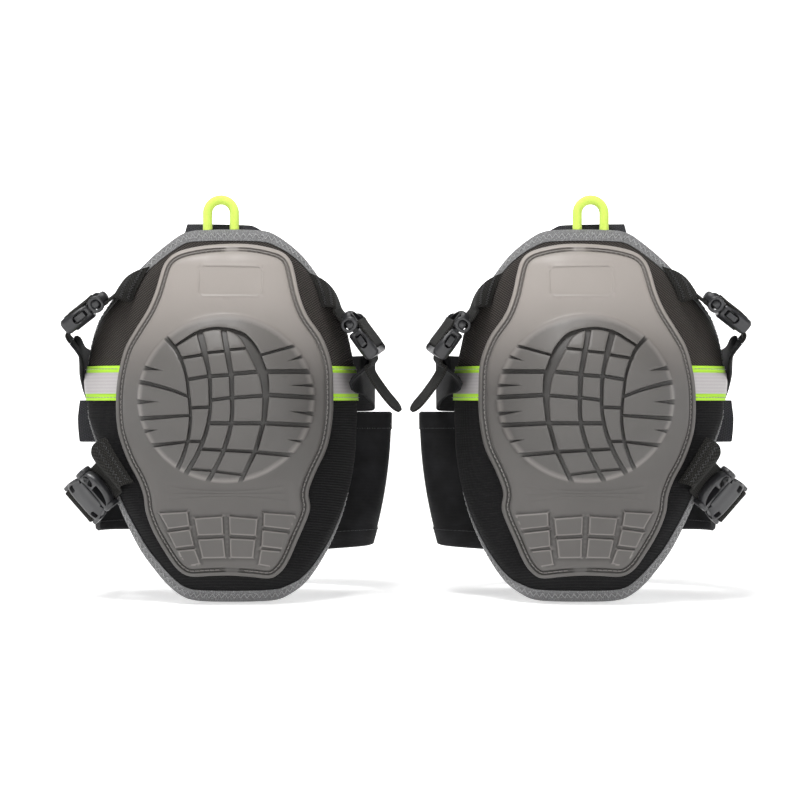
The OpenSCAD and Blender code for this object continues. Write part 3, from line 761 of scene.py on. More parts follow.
# The cap's rim: distance in from the outline, height against the face.
CAP_PROFILE = [
    (1.6, -3.7), (0.5, -3.75), (0.05, -3.3), (0, -2.4), (0.02, -1.5), (0.2, -0.8), (0.6, -0.3),
    (1.2, -0.06), (1.9, 0), (2.5, -0.1), (2.85, -0.5), (3.05, -1.25), (3.4, -1.45), (3.75, -1.3),
    (4.0, -0.75), (4.3, -0.55), (4.6, -0.75), (4.85, -1.3), (5.2, -1.45), (5.5, -1.2),
    (5.75, -0.35), (6.1, 0.2), (6.7, 0.6), (7.6, 0.82), (8.8, 0.9),
]
CAP_COUNT = 480
WALL = 0.5              # width of a groove's sloping wall
LIP = 0.45              # width of the rounded lip beside it
LATTICE = 1.7           # between the mesh's points on plain faces
SEAM_GAP_X, SEAM_GAP_Z = 3, 60      # the stitched groove is broken here, at the top and the bottom


def groove_field(p):
    """How deep each point is in the tread's grooves: 0 outside, 1 on a floor."""
    inside = np.full(len(p), -1e9)
    for groove in GROOVES:
        g = resampled(groove, 1.5)
        for a, b in zip(g[:-1], g[1:]):
            d = b[:2] - a[:2]
            t = np.clip(((p - a[:2]) @ d) / max(d @ d, 1e-9), 0, 1)
            off = np.linalg.norm(p - a[:2] - t[:, None] * d, axis=1)
            inside = np.maximum(inside, mix(a[2], b[2], t) / 2 - off)
    return np.interp(inside, [-LIP, 0, WALL], [0, 0.08, 1])


def anticlockwise(corners):
    c = np.asarray(corners, float)
    return c[::-1] if np.cross(c[1] - c[0], c[2] - c[1]) < 0 else c


def left_of(d):
    return np.array([-d[1], d[0]])


def polygon_depth(p, corners):
    """Distance inside a convex polygon; negative outside."""
    c = anticlockwise(corners)
    return np.min([(p - a) @ left_of(unit(b - a)) for a, b in zip(c, np.roll(c, -1, axis=0))],
                  axis=0)


def inset_polygon(corners, inset, round_to=1.2):
    """A convex polygon moved inwards, its corners cut round, resampled."""
    c = anticlockwise(corners)
    cut = max(round_to - inset * 0.4, 0.3)
    loop = []
    for a, b, d in zip(np.roll(c, 1, axis=0), c, np.roll(c, -1, axis=0)):
        u, v = unit(b - a), unit(d - b)
        corner = b + inset * (left_of(u) + left_of(v)) / max(1 + left_of(u) @ left_of(v), 0.2)
        loop += [corner - u * cut, corner + (v - u) * cut * 0.35, corner + v * cut]
    fine = []
    for a, b in zip(loop, loop[1:] + loop[:1]):
        steps = max(1, int(np.linalg.norm(b - a) / 1.5))
        fine += [mix(a, b, k / steps) for k in range(steps)]
    return np.array(fine)


def tread_depth(p):
    return (1 - np.linalg.norm((p - TREAD_AT) / TREAD_R, axis=1)) * TREAD_MEAN


def cap_face(p):
    """Height of the cap's face over the liner at points seen from the front, and their places."""
    x, z = p[:, 0], p[:, 1]
    rise = np.interp(tread_depth(p), *zip(*TREAD_EDGE)) * PLATEAU
    rise *= mix(1, 0.45, smooth((-z - 24) / 26))
    rise *= 1 - groove_field(p)
    blocks = np.interp(np.max([polygon_depth(p, c) for c in BLOCKS], axis=0), *zip(*BLOCK_EDGE))
    blocks *= mix(1, 0.35, smooth((-z - 92) / 16)) * BLOCK_RISE
    inner = smooth((44 - abs(x)) / 4) * smooth((-z - 50) / 8) * smooth((z + 112) / 14)
    saddle = -0.9 * inner * smooth((z + 116) / 30)
    ridges = sum(0.3 * np.exp(-((z - middle - curl * x * x) / 0.5) ** 2)
                 for middle, curl in RIDGES) * smooth((40 - abs(x)) / 6)
    mark = np.interp(polygon_depth(p, BADGE), *zip(*BADGE_EDGE))
    extra = rise + blocks + saddle + ridges + mark
    half = np.where(x < 0, HOLLOW_OUT, HOLLOW_IN)
    h = np.full(len(p), 22.0)

    def angle():
        return np.degrees(np.arcsin(np.clip(x / (half + h), -0.96, 0.96)))

    for _ in range(12):
        half = half_width(angle())
        a = angle()
        h = cover_high(a, z) + 0.4 + CAP + (DOME - PLATEAU) * dome(a, z) + extra
    return a, h


def cap_painted_light(p):
    """At points on the face, masks of painted light: painted shade by how deep in a groove or how
    near a block's foot, a painted highlight near a lip, painted shade by how far in the tread.
    """
    depth = tread_depth(p)
    blocks = np.array([polygon_depth(p, corners) for corners in BLOCKS])
    # Painted shade in the grooves.
    cut = groove_field(p) * smooth(depth / 2.5)
    lip = np.interp(depth, [0.2, 1.2, 2.2, 4.0], [0, 1, 1, 0]) * (cut < 0.02)
    # A painted highlight on the blocks' rims, and painted shade beside them.
    block_rim_highlight = np.interp(blocks, [0.1, 0.5, 0.9, 1.3], [0, 1, 1, 0])
    beside = np.interp(blocks, [-1.6, -0.9, -0.1, 0.1], [0, 0.7, 0.7, 0])
    cut = np.maximum(cut, beside.max(axis=0)) * (blocks.max(axis=0) <= 0.1)
    return np.stack([cut, np.maximum(lip, block_rim_highlight.max(axis=0)), smooth(depth / 1.5)], axis=1)


def cap_points(p, lift=0.0):
    a, h = cap_face(p)
    return on_pad(a, p[:, 1], h + lift)


def cap_loop(inset):
    return CAP_LOOP + inset * CAP_IN


CAP_LOOP = softened(spline(CAP_OUTLINE, CAP_COUNT, True), 4)
CAP_IN = softened(inward(CAP_LOOP), 8)


def offset_lines(groove, offsets):
    """Lines beside a groove's middle, at each offset from its edge."""
    g = resampled(groove, 1.5)
    n = left_of(unit(np.gradient(g[:, :2], axis=0)).T).T
    widths = [g[:, 2] / 2 + off for off in offsets]
    return [g[:, :2] + side * n * np.maximum(w, 0.02)[:, None]
            for side in (-1, 1) for w in widths if w.max() > 0.05]


def cap_interior(loop):
    """A mesh of the cap's face inside loop that follows every edge of its tread."""
    points, edges = [], []

    def chain(line, closed=True):
        start, n = len(points), len(line)
        points.extend(map(tuple, line))
        edges.extend((start + i, start + (i + 1) % n) for i in range(n if closed else n - 1))

    chain(loop)
    for groove in GROOVES:
        for line in offset_lines(groove, (LIP, 0, -WALL)):
            keep = np.flatnonzero(tread_depth(line) > -1.0)
            if len(keep) > 1:
                chain(line[keep[0]:keep[-1] + 1], False)
    angle = np.linspace(0, 2 * np.pi, 300, endpoint=False)
    circle = np.stack([np.cos(angle), np.sin(angle)], axis=1)
    for depth, _ in TREAD_EDGE:
        chain(TREAD_AT + circle * TREAD_R * (1 - depth / TREAD_MEAN))
    for corners in BLOCKS:
        for inset, _ in BLOCK_EDGE:
            chain(inset_polygon(corners, inset))
    for inset, _ in BADGE_EDGE:
        chain(inset_polygon(BADGE, inset, 3.0))
    x = np.linspace(-40, 40, 60)
    for middle, curl in RIDGES:
        for off in (-0.9, -0.35, 0, 0.35, 0.9):
            chain(np.stack([x, middle + curl * x * x + off], axis=1), False)

    # A lattice of points between them, where nothing else is near.
    gx, gz = np.meshgrid(np.arange(-76, 76, LATTICE), np.arange(-119, 107, LATTICE))
    gx = gx + (np.arange(len(gz)) % 2)[:, None] * LATTICE / 2
    cells = {}
    for x, z in points:
        cells.setdefault((int(x // 1), int(z // 1)), []).append((x, z))

    def crowded(x, z):
        i, j = int(x // 1), int(z // 1)
        return any(abs(q[0] - x) + abs(q[1] - z) < 0.9
                   for k in (-1, 0, 1) for m in (-1, 0, 1) for q in cells.get((i + k, j + m), ()))

    points.extend(p for p in zip(gx.ravel(), gz.ravel()) if not crowded(*p))
    verts, _, faces, *_ = delaunay_2d_cdt([Vector(p) for p in points], edges, [], 0, 1e-4)
    flat = np.array([tuple(v) for v in verts])
    # Keep the triangles whose middles are inside the loop.
    middles = np.array([flat[list(f)].mean(axis=0) for f in faces])
    inside = np.zeros(len(middles), bool)
    for (x0, z0), (x1, z1) in zip(loop, np.roll(loop, -1, axis=0)):
        cross = (z0 > middles[:, 1]) != (z1 > middles[:, 1])
        at = x0 + (middles[:, 1] - z0) * (x1 - x0) / (z1 - z0 if z1 != z0 else 1e-9)
        inside ^= cross & (middles[:, 0] < at)
    faces = [f for f, keep in zip(faces, inside) if keep]
    used = sorted({i for f in faces for i in f})
    index = {old: new for new, old in enumerate(used)}
    return flat[used], [tuple(index[i] for i in f) for f in faces]


def make_cap():
    loops = []
    for inset, dh in CAP_PROFILE:
        p = cap_loop(inset)
        gap = smooth((6 - abs(p[:, 0] - SEAM_GAP_X)) / 3) * (abs(p[:, 1]) > SEAM_GAP_Z)
        loops.append(cap_points(p, dh * (1 - gap) if 2 < inset < 6 else dh))
    # The underside, just clear of the cover.
    under = []
    for t in np.linspace(1, 0.12, 9):
        p = mix(np.array([0.0, -4.0]), cap_loop(CAP_PROFILE[0][0]), t)
        a, _ = cap_face(p)
        under.append(on_pad(a, p[:, 1], cover_high(a, p[:, 1]) + 0.25))
    loops = under[:0:-1] + loops
    # Painted shade in the stitched groove round the cap's rim.
    groove_shade = np.zeros((len(loops), CAP_COUNT, 3))
    groove_shade[len(under) - 1:, :, 0] = np.interp(
        [inset for inset, _ in CAP_PROFILE], [2.5, 3.0, 4.0, 4.3, 4.6, 5.4, 5.9],
        [0, 1, 0.5, 0.3, 0.6, 1, 0])[:, None]
    shape = Shape().add(np.vstack(loops), rings(loops) + [tuple(range(CAP_COUNT))[::-1]], groove_shade)
    inset, dh = CAP_PROFILE[-1]
    flat, faces = cap_interior(cap_loop(inset))
    return shape.add(cap_points(flat, dh), faces, cap_painted_light(flat))


def make_cap_stitches():
    """The thread in the cap's groove."""
    p = cap_loop(4.3)[np.r_[np.arange(CAP_COUNT), 0]]
    gap = (abs(p[:, 0] - SEAM_GAP_X) < 7) & (abs(p[:, 1]) > SEAM_GAP_Z)
    path = cap_points(p, -0.5)
    normal = unit(path - on_pad(cap_face(p)[0], p[:, 1], 0))
    shape = Shape()
    for run in np.split(np.arange(len(p)), np.flatnonzero(np.diff(gap.astype(int))) + 1):
        if len(run) > 20 and not gap[run[0]]:
            stitches(path[run], normal[run], 2.7, 0.7, 0.34, 0.42, shape)
    return shape


# ---- Fabric on the pad ----
# The tape's section: distance in from the edge, height, and 1 where that is over the cover.
BINDING_PROFILE = [
    (7.4, 0.15, 1), (7.3, 0.8, 1), (6.6, 1.1, 1), (5.2, 1.25, 1), (3.6, 1.2, 1), (2.0, 1.0, 1),
    (0.8, 0.55, 1), (-0.1, -0.2, 1), (-0.7, -1.2, 1), (-0.95, -2.6, 1), (-0.95, 3.2, 0),
    (-0.8, 1.4, 0), (-0.3, 0.2, 0), (0.6, -0.6, 0), (2.0, -1.0, 0), (4.2, -1.15, 0),
    (6.0, -1.0, 0), (6.6, -0.65, 0), (6.7, -0.1, 0),
]
BINDING_INSIDE = [(6.6, 0.02, 0), (0.1, 0.02, 0), (0.1, 0.02, 1), (7.3, 0.05, 1)]


def make_binding():
    """The tape: over the cover's edge, round the rim, onto the liner, and back inside itself."""
    loops = []
    for inset, h, front in BINDING_PROFILE + BINDING_INSIDE:
        base = cover_high(*rim_at(max(inset, 0.0))) if front else 0.0
        loops.append(on_pad(*rim_at(inset), base + h))
    width = travelled(np.array([loop[0] for loop in loops]))
    width = np.minimum(width, width[len(BINDING_PROFILE) - 1])
    run = np.arange(RIM_COUNT) * 1.5
    cloth = np.stack(np.broadcast_arrays(width[:, None], run[None, :], 0.0), axis=-1)
    return Shape().add(np.vstack(loops), rings(loops, joined=True), cloth)


def rim_path(inset, h, count):
    """A closed path along the rim's front, at a distance in from the edge."""
    a, z = rim_at(inset)
    p = on_pad(a, z, cover_high(a, z) + h)
    p = np.vstack([p, p[:1]])
    run = travelled(p)
    return looked_up(np.linspace(0, run[-1], count), run, p)


def make_binding_stitches():
    """A zigzag of thread along the tape's face."""
    count = 340
    low, high = rim_path(2.0, 1.35, count), rim_path(5.2, 1.6, count)
    t = np.linspace(0, 1, 4)[:, None]
    arch = np.array([-0.35, 0.1, 0.1, -0.35])[:, None]
    shape = Shape()
    for i in range(count - 1):
        a, b = (low[i], high[i + 1]) if i % 2 else (high[i], low[i + 1])
        tube(mix(a, b, t) + arch * unit(a - (0, 40.0, a[2])), 0.26, shape, 5)
    return shape


# On the outer and on the inner side: how far the bands stop short of the edge in degrees, and
# how far across they start, under the cap.
BAND_SHORT, BAND_START = (1.2, 2.0), (72.8, 68.4)


def band_grid(side, low, high, h, across=40, up=10):
    """A grid on the cover between two heights, from under the cap to the edge."""
    rows = []
    inner = math.degrees(math.asin(BAND_START[side] / ((HOLLOW_OUT, HOLLOW_IN)[side] + 21)))
    for z in np.linspace(low, high, up):
        edge = rim_angle(z, side)
        a = np.linspace(edge - math.copysign(BAND_SHORT[side], edge), math.copysign(inner, edge),
                        across)[::-1 if side else 1]
        rows.append(on_pad(a, np.full(across, z), cover_high(a, z) + h))
    return np.array(rows)


def make_band(low, high, h, t):
    return slab(band_grid(1, low, high, h), t, slab(band_grid(0, low, high, h), t))


def make_band_stitches():
    shape = Shape()
    for side in (0, 1):
        for z in (3.0, 22.0):
            path = band_grid(side, z, z + 0.1, 1.3, across=60)[0]
            normal = unit(path - [0, 20.0, 0] - [0, 0, 1] * path[:, 2:3])
            stitches(path, normal, 2.2, 0.9, 0.22, 0.28, shape)
    return shape


# ---- Buckles and webbing ----
# Each buckle: place, turn of its pull direction in the front plane, roll about that direction,
# and tilt of its face towards that direction.
BUCKLES = {
    "upper_outer": ((-95.5, -49, 61), 142, 170, 0),
    "upper_inner": ((88, -43.5, 46), 53, 12, 0),
    "lower_outer": ((-93, -43, -62), 139, 90, 45),
}
WEB_T = 1.6
WEB_CLEAR = 0.4         # between webbing and the plastic that it lies on
# Webbing's middle, out from a buckle's middle: on the socket's face, under it, under the plug.
FACE_W = 4 + WEB_CLEAR + WEB_T / 2
UNDER_W = -2 - WEB_CLEAR - WEB_T / 2
PLUG_UNDER = -2.2 - 0.5 - WEB_T / 2
SLOT_U, BAR_U, BAR_R = 12.8, 16.0, 2.0      # the slot's and the bar's place along the pull
LOOP_R_MID = BAR_R + WEB_CLEAR + WEB_T / 2
LOOP_OUT = 20.0         # how far looped webbing goes beyond the bar
WEB_DROP = (BAR_U + 4.6, UNDER_W - 6.5)     # where threaded webbing ends
JOIN = 0.4              # between a strap's end and the webbing that it is sewn to


def turned(v, buckle):
    """A direction of a buckle's own frame (pull, across, face) in the pad's frame."""
    _, t, r, tilt = BUCKLES[buckle]
    v = np.asarray(v, float)
    a0 = v[..., 0] * cos(tilt) + v[..., 2] * sin(tilt)
    b2 = v[..., 2] * cos(tilt) - v[..., 0] * sin(tilt)
    a1 = v[..., 1] * cos(r) - b2 * sin(r)
    a2 = v[..., 1] * sin(r) + b2 * cos(r)
    return np.stack([a0 * cos(t) + a2 * sin(t), a1, -a0 * sin(t) + a2 * cos(t)], axis=-1)


def placed(v, buckle):
    return np.array(BUCKLES[buckle][0], float) + turned(v, buckle)


def swept(stations, power=3.4, count=48):
    """A closed body along the pull direction: at each place its half width, bottom and top."""
    angle = np.linspace(0, 2 * np.pi, count, endpoint=False)
    v, w = (np.sign(c) * abs(c) ** (2 / power) for c in (np.cos(angle), np.sin(angle)))
    return loft([np.stack([np.full(count, u), half * v, (low + high) / 2 + (high - low) / 2 * w],
                          axis=1) for u, half, low, high in stations])


def prism(outline, axis, *levels):
    """A flat outline drawn out along one axis, between two levels."""
    return loft([np.insert(np.asarray(outline, float), axis, level, axis=1)
                 for level in sorted(levels)])


def rounded(a0, a1, b0, b1, r, steps=6):
    """A rectangle with round corners."""
    (a0, a1), (b0, b1) = sorted((a0, a1)), sorted((b0, b1))
    corners = ((a1 - r, b1 - r, 0), (a0 + r, b1 - r, 90), (a0 + r, b0 + r, 180),
               (a1 - r, b0 + r, 270))
    return [(a + r * cos(start + t), b + r * sin(start + t))
            for a, b, start in corners for t in np.linspace(0, 90, steps)]


def carved(solid, cutters):
    """A solid with cutters taken out of it."""
    pieces = []
    for shape in (solid, *cutters):
        mesh = new_mesh("temporary", shape.verts, shape.faces)
        bm = welded(mesh, 1e-4)
        bm.to_mesh(mesh)
        bm.free()
        pieces.append(new_object("temporary", mesh))
    body = pieces[0]
    for cutter in pieces[1:]:
        cut = body.modifiers.new("cut", "BOOLEAN")
        cut.operation, cut.solver, cut.object = "DIFFERENCE", "EXACT", cutter
    done = body.evaluated_get(bpy.context.evaluated_depsgraph_get())
    mesh = done.to_mesh()
    shape = Shape().add([tuple(v.co) for v in mesh.vertices],
                        [tuple(p.vertices) for p in mesh.polygons])
    done.to_mesh_clear()
    for piece in pieces:
        mesh = piece.data
        bpy.data.objects.remove(piece)
        bpy.data.meshes.remove(mesh)
    return shape


def socket_shape(plain):
    """The socket's shell: a plain face, or one with a channel for webbing to lie in."""
    front, tail, top = (-6.4, 12.6, 5.6) if plain else (-3.4, 18.2, 6.8)
    nose, heel = 1.4, 3.2           # radii of the two ends

    def section(u, shrink):
        half = np.interp(u, [-3.4, 1, 7, 12, 18], [13.0, 14.3, 15.9, 16.4, 16.3])
        crown = 0.5 * smooth((u + 3.4) / 6)
        return u, half - 0.5 * shrink, -6.6 + shrink, top - 0.5 + crown - shrink

    stations = [section(front + nose * (1 - cos(t)), nose * (1 - sin(t))) for t in (0, 25, 50, 75)]
    stations += [section(u, 0) for u in np.linspace(front + nose, tail - heel, 12)]
    stations += [section(tail - heel + heel * sin(t), heel * (1 - cos(t)))
                 for t in (15, 30, 45, 60, 75)]
    # The plug's way in, then a window for each arm and a slot in the face over it.
    cutters = [prism(rounded(-13, 13, -2.1, 2.1, 0.8), 0, -8, 10.4)]
    for side in (-1, 1):
        arm = side * 11.3
        cutters += [prism(rounded(-0.8, 9.8, -2.9, 2.9, 2.7), 1, side * 12.2, side * 20),
                    prism(rounded(4.6, 9.0, arm - 2.3, arm + 2.3, 1.3), 2, 0, 9)]
    if plain:
        cutters.append(prism(rounded(-20, 20, -12, 4.2, 0.3), 0, -9, -3.3))
    else:
        # The webbing's channel, the slot that it goes down through, and its way out below.
        cutters += [prism(rounded(-13.1, 13.1, 4.3, 12, 0.5), 0, -9, 24),
                    prism(rounded(11.9, 14.1, -13.3, 13.3, 0.5), 2, -9, 9),
                    prism(rounded(-13.3, 13.3, -9, -2.0, 0.4), 0, 11.8, 22)]
    shape = carved(swept(stations), cutters)
    if plain:
        tube([(BAR_U, v, 0) for v in (-16, -8, 0, 8, 16)], BAR_R, shape, 20)
        for side in (-1, 1):
            shape.join(prism(rounded(9, BAR_U + BAR_R, side * 13.4, side * 16.2, 1.2), 2, -2, 2))
    return shape


def plug_shape():
    """The plug: an arched frame with two windows, pockets for the arms, and a blade."""
    arch = [(-6.5 - 11 * cos(t), 15.8 * sin(t)) for t in np.linspace(-84, 84, 41)]
    foot = [(-5.0, 14.6), (-3.9, 13.0), (-3.9, 12.6)]
    outline = np.array([(u, -v) for u, v in foot[::-1]] + arch + foot)[::-1]
    inwards = inward(outline)
    solid = loft([np.column_stack([outline + inset * inwards, np.full(len(outline), w)])
                  for inset, w in ((1.9, -2.5), (0.9, -2.3), (0.25, -1.7), (0, -0.7), (0, 1.5),
                                   (0.25, 2.5), (0.9, 3.6), (1.9, 4.0))])
    small = [(-11.0 + 2.9 * cos(t), -7.4 + 4.1 * sin(t)) for t in np.linspace(0, 345, 24)]
    large = ([(-8.2, -1.6)] + [(-6.5 - 8.4 * cos(t), 13 * sin(t)) for t in np.linspace(-7, 75, 18)]
             + [(-8.2, 12.6)])
    cutters = [prism(small, 2, -6, 6), prism(large, 2, -6, 6)]
    cutters += [prism(rounded(-7.1, 0, arm - 2.5, arm + 2.5, 0.3), 2, -2, 2) for arm in (-9.6, 9.6)]
    shape = carved(solid, cutters).join(prism(rounded(-6, 9, -2, 2, 1.2), 2, -1.8, 1.8))
    # Cheeks at the arch's ends, each with an oval window.
    outer, middle = np.array(rounded(-13.6, -3.9, -5.6, 5.6, 4.4, 9)), np.array([-8.6, 0])
    window = rounded(-12.0, -5.7, -3.5, 3.5, 3.0)
    for side in (-1, 1):
        cheek = loft([np.insert(middle + share * (outer - middle), 1, side * v, axis=1)
                      for v, share in ((13.0, 1), (14.8, 1), (15.6, 0.94), (16.0, 0.8))])
        shape.join(carved(cheek, [prism(window, 1, side * 10, side * 20)]))
    return shape


def bezier(points, count):
    t = np.linspace(0, 1, count)[:, None]
    a, b, c, d = (np.asarray(p, float) for p in points)
    return (1 - t) ** 3 * a + 3 * (1 - t) ** 2 * t * b + 3 * (1 - t) * t * t * c + t ** 3 * d


def chain_of(curves, count):
    parts = [bezier(c, count) for c in curves]
    return np.vstack([p[:-1] for p in parts[:-1]] + [parts[-1]])


def web_grid(path, buckle, half=12.5, columns=9):
    """A grid across a buckle's webbing that follows a path of (pull, face) points."""
    v = np.linspace(-half, half, columns)
    return placed([[(u, k, w) for k in v]
                   for u, w in spline(path, max(12, len(path) * 5), False)], buckle)


def threaded_path():
    """Webbing along the socket's face, down through its slot and out underneath."""
    down = [(-8, 0.4), (-4, 0.1), (0, 0), (SLOT_U - 3.2, 0), (SLOT_U - 1.3, -0.1),
            (SLOT_U - 0.35, -0.7), (SLOT_U, -1.8)]
    out = [(SLOT_U + 0.7, 0.7), (SLOT_U + 2, 0), (BAR_U + 1.5, 0), (BAR_U + 3.6, -1),
           (WEB_DROP[0], -3.4)]
    return ([(u, FACE_W + w) for u, w in down] + [(SLOT_U, 1), (SLOT_U, -1.2)]
            + [(u, UNDER_W + w) for u, w in out] + [WEB_DROP])


def off_bar(along, side):
    """A point in the slanting direction in which looped webbing leaves a buckle's bar."""
    return (BAR_U + along * cos(45) + side * sin(45), side * cos(45) - along * sin(45))


def looped_path():
    """Webbing round the socket's bar, both ends away from it."""
    near = [(LOOP_OUT, 0.9), (9, 0.95), (5, 1.9), (1.5, 3.1)]
    return ([off_bar(along, -side) for along, side in near]
            + [off_bar(LOOP_R_MID * cos(a), LOOP_R_MID * sin(a)) for a in range(-90, -271, -30)]
            + [off_bar(*p) for p in near[::-1]])


def make_anchor(foot, buckle):
    """Webbing from a foot on the cover, under the plug's frame."""
    paths = []
    for v in np.linspace(1, 0, 9):
        a, z = mix(*np.array(foot, float), v)
        start = on_pad(a, z, cover_high(a, z) + 1.4)
        out = np.array([sin(a), -cos(a), 0])
        end = [placed((u, mix(-12.5, 12.5, v), PLUG_UNDER), buckle) for u in (-25.5, -21.5, -8.5)]
        paths.append(chain_of([
            (start, start + 0.4 * (end[0] - start) + 19 * out, end[0], end[1]),
            (end[1], end[1], end[2], end[2])], 14))
    return np.stack(paths, axis=1)


def bar_tacks(grid, at_rows, shape, count=22):
    """Dense zigzags of thread across both faces of a strap, at some of its rows."""
    along, _, normal = directions(grid)
    columns = range(grid.shape[1])
    s = np.linspace(0.06, 0.94, count) * columns[-1]
    zig = np.where(np.arange(count) % 2, 1.0, -1.0)[:, None]
    for row in at_rows:
        at, d, n = (looked_up(s, columns, of[row]) for of in (grid, unit(along), normal))
        for face in (-1, 1):
            tube(at + zig * d + face * n * (WEB_T / 2 + 0.12), 0.24, shape, 5)


# ---- Straps behind the leg ----
ELASTIC_T = 2.0
THIGH_HALF = 19.0       # half the thigh strap's width
STRAP_BACK_Y = 66.0     # the thigh strap's place behind the leg


def strap_grid(points, across, columns=9):
    """A flat strap along points, with across vectors (half its width long) spread along it."""
    across = np.array(across, float)
    d = unit(np.gradient(points, axis=0))
    f = np.linspace(0, len(across) - 1, len(points))
    j = np.minimum(f.astype(int), len(across) - 2)
    w = mix(across[j], across[j + 1], smooth(f - j)[:, None])
    size = np.linalg.norm(w, axis=1, keepdims=True)
    w = unit(w - (w * d).sum(axis=1, keepdims=True) * d) * size
    return points[:, None] + np.linspace(1, -1, columns)[None, :, None] * w[:, None]


def thigh_halves():
    """The thigh strap's outer and inner halves, which are sewn together at the back."""
    def ends(buckle, *drops):
        return [placed((WEB_DROP[0], 0, WEB_DROP[1] - drop), buckle) for drop in drops]

    out, inn = ends("upper_outer", JOIN, 6, 12), ends("upper_inner", JOIN, 6.5, 12)
    out_across = turned((0, -12.6, 0), "upper_outer")
    in_across = turned((0, 12.6, 0), "upper_inner")
    side_out, side_in, back = (-100, 24, 14), (94.5, 29, 14), (-4, STRAP_BACK_Y, 14)
    first = chain_of([(out[0], out[0], out[1], out[1]), (out[1], out[2], (-108, -4, 20), side_out),
                      (side_out, (-96, 54, 10), (-50, STRAP_BACK_Y, 14), back)], 22)
    second = chain_of([(back, (44, STRAP_BACK_Y, 14), (88, 58, 12), side_in),
                       (side_in, (100, 6, 14), inn[2], inn[1]), (inn[1], inn[1], inn[0], inn[0])],
                      22)
    upright, leaning = (0, 0, THIGH_HALF), (0, 5, THIGH_HALF)
    return (strap_grid(first, [out_across, out_across, leaning, upright]),
            strap_grid(second, [upright, leaning, in_across, in_across]))


PANEL_MID_Z, PANEL_HALF, PANEL_BACK_Y = -54.0, 46.0, 79.0     # middle, half width, back
HEM = 12.0              # the calf panel's turned and sewn edges
# Where the panel's rows are, from -1 at its foot to 1 at its top.
HEM_ROWS = np.array([-1, -0.985, -0.87, HEM / PANEL_HALF - 1.02, HEM / PANEL_HALF - 0.995])
PANEL_ROWS = np.r_[HEM_ROWS, np.linspace(-0.66, 0.66, 13), -HEM_ROWS[::-1]]


def panel_grid(rows):
    """The calf panel: from the pad's inner edge round the calf to the lower buckle's webbing."""
    pull, face = off_bar(LOOP_OUT + JOIN, 0)
    end = placed((pull, 0, face), "lower_outer")
    end_across = turned((0, -12.6, 0), "lower_outer")
    out = []
    for v in rows:
        z = PANEL_MID_Z + v * PANEL_HALF
        a = rim_angle(z, 1)
        way = unit([(HOLLOW_IN + 4) * cos(a), (HOLLOW_FRONT + 4) * sin(a), 0])
        start = on_pad(a, z, 4) + 1.2 * way
        side_x = 107 - 13 * ((-z - 8) / 92) ** 2
        back_z, out_z = -57 + v * (PANEL_HALF - 8), -68 + v * 22
        side, back, outer = (side_x, 28, z), (-4, PANEL_BACK_Y, back_z), (-99, 26, out_z)
        tip = end + v * end_across
        out.append(chain_of([
            (start, start + 13 * way, (side_x + 1, 8, z), side),
            (side, (side_x - 5, 56, z), (40, PANEL_BACK_Y, back_z), back),
            (back, (-48, PANEL_BACK_Y, back_z), (-86, 62, out_z), outer),
            (outer, (-101, 16, out_z - 1), tip + (0, 9, 0), tip)], 18))
    return np.stack(out, axis=1)


# ---- Loop and tabs ----
# The pull loop: the cord's radius, half its width between centres, its foot, its arc's middle.
LOOP_R, LOOP_HALF, LOOP_FOOT, LOOP_TOP = 3.3, 9.0, PAD_TOP + 1.2, 126.5
LOOP_X = -6.0


def loop_path():
    y = float(on_pad(0.0, PAD_TOP, 4.0)[1])
    arc = [(LOOP_X + LOOP_HALF * math.cos(t), y, LOOP_TOP + LOOP_HALF * math.sin(t))
           for t in np.linspace(0, math.pi, 31)]
    heights = np.linspace(LOOP_FOOT - 5, LOOP_TOP, 12, endpoint=False)
    return np.array([(LOOP_X + LOOP_HALF, y, z) for z in heights] + arc
                    + [(LOOP_X - LOOP_HALF, y, z) for z in heights[::-1]])


def braided(path, radius, strands=8, sides=48):
    """A round cord whose strands cross over and under each other."""
    run = travelled(path)
    at = np.linspace(0, run[-1], int(run[-1] / 0.35))
    points = looked_up(at, run, path)
    angle = np.linspace(0, 2 * np.pi, sides, endpoint=False)
    loops = []
    for p, d, turn in zip(points, unit(np.gradient(points, axis=0)), at / 9.0 * 2 * np.pi):
        u = unit(np.array([0.0, 1.0, 0.0]) - d[1] * d)
        over = np.max([abs(np.cos(strands / 2 * (angle + way * turn / 2.2))) for way in (1, -1)],
                      axis=0)
        r = radius * (0.9 + 0.12 * (over - 0.5))
        loops.append(p + (r * np.cos(angle))[:, None] * u
                     + (r * np.sin(angle))[:, None] * np.cross(d, u))
    return loft(loops)


def make_top_tab():
    rise = np.linspace(0, 1, 10)
    grid = []
    for a, slant in zip(np.linspace(-19, 22, 25), np.linspace(1, 0, 25)):
        z = mix(105, PAD_TOP + 4.5, rise)
        up = (z - 105) / 13
        z = z + slant * 1.5 - 4.6 * smooth((a - 11) / 11) * up
        grid.append(on_pad(a - 2 * slant * (1 - up), z, -1.35))
    return slab(np.stack(grid, axis=1), 1.7)


def make_side_tab():
    grid = []
    way = unit([-0.95, 0.3, 0])
    for t in np.linspace(0, 1, 12):
        z = mix(-27.0, 1.0, t)
        edge = on_pad(rim_angle(z, 0), z, 5) + [-0.5, 1.3, 0]
        grid.append([edge + s * mix(17, 12, t) * way for s in np.linspace(0, 1, 7)])
    return slab(grid, 2.0)


# ---- Putting the pieces together ----
def line_length(points):
    return float(np.linalg.norm(np.diff(np.asarray(points), axis=0), axis=1).sum())


def outer_area(grid):
    """Area in square metres of a sheet's middle surface."""
    a, b = np.diff(grid, axis=0)[:, :-1], np.diff(grid, axis=1)[:-1]
    return float(np.linalg.norm(np.cross(a, b), axis=-1).sum()) * MM * MM


def world(point, side):
    """A pad-local point in the row frame, in metres."""
    x, y, z = point
    return (x - PAD_X) * MM * (1 if side == "left" else -1), y * MM, z * MM


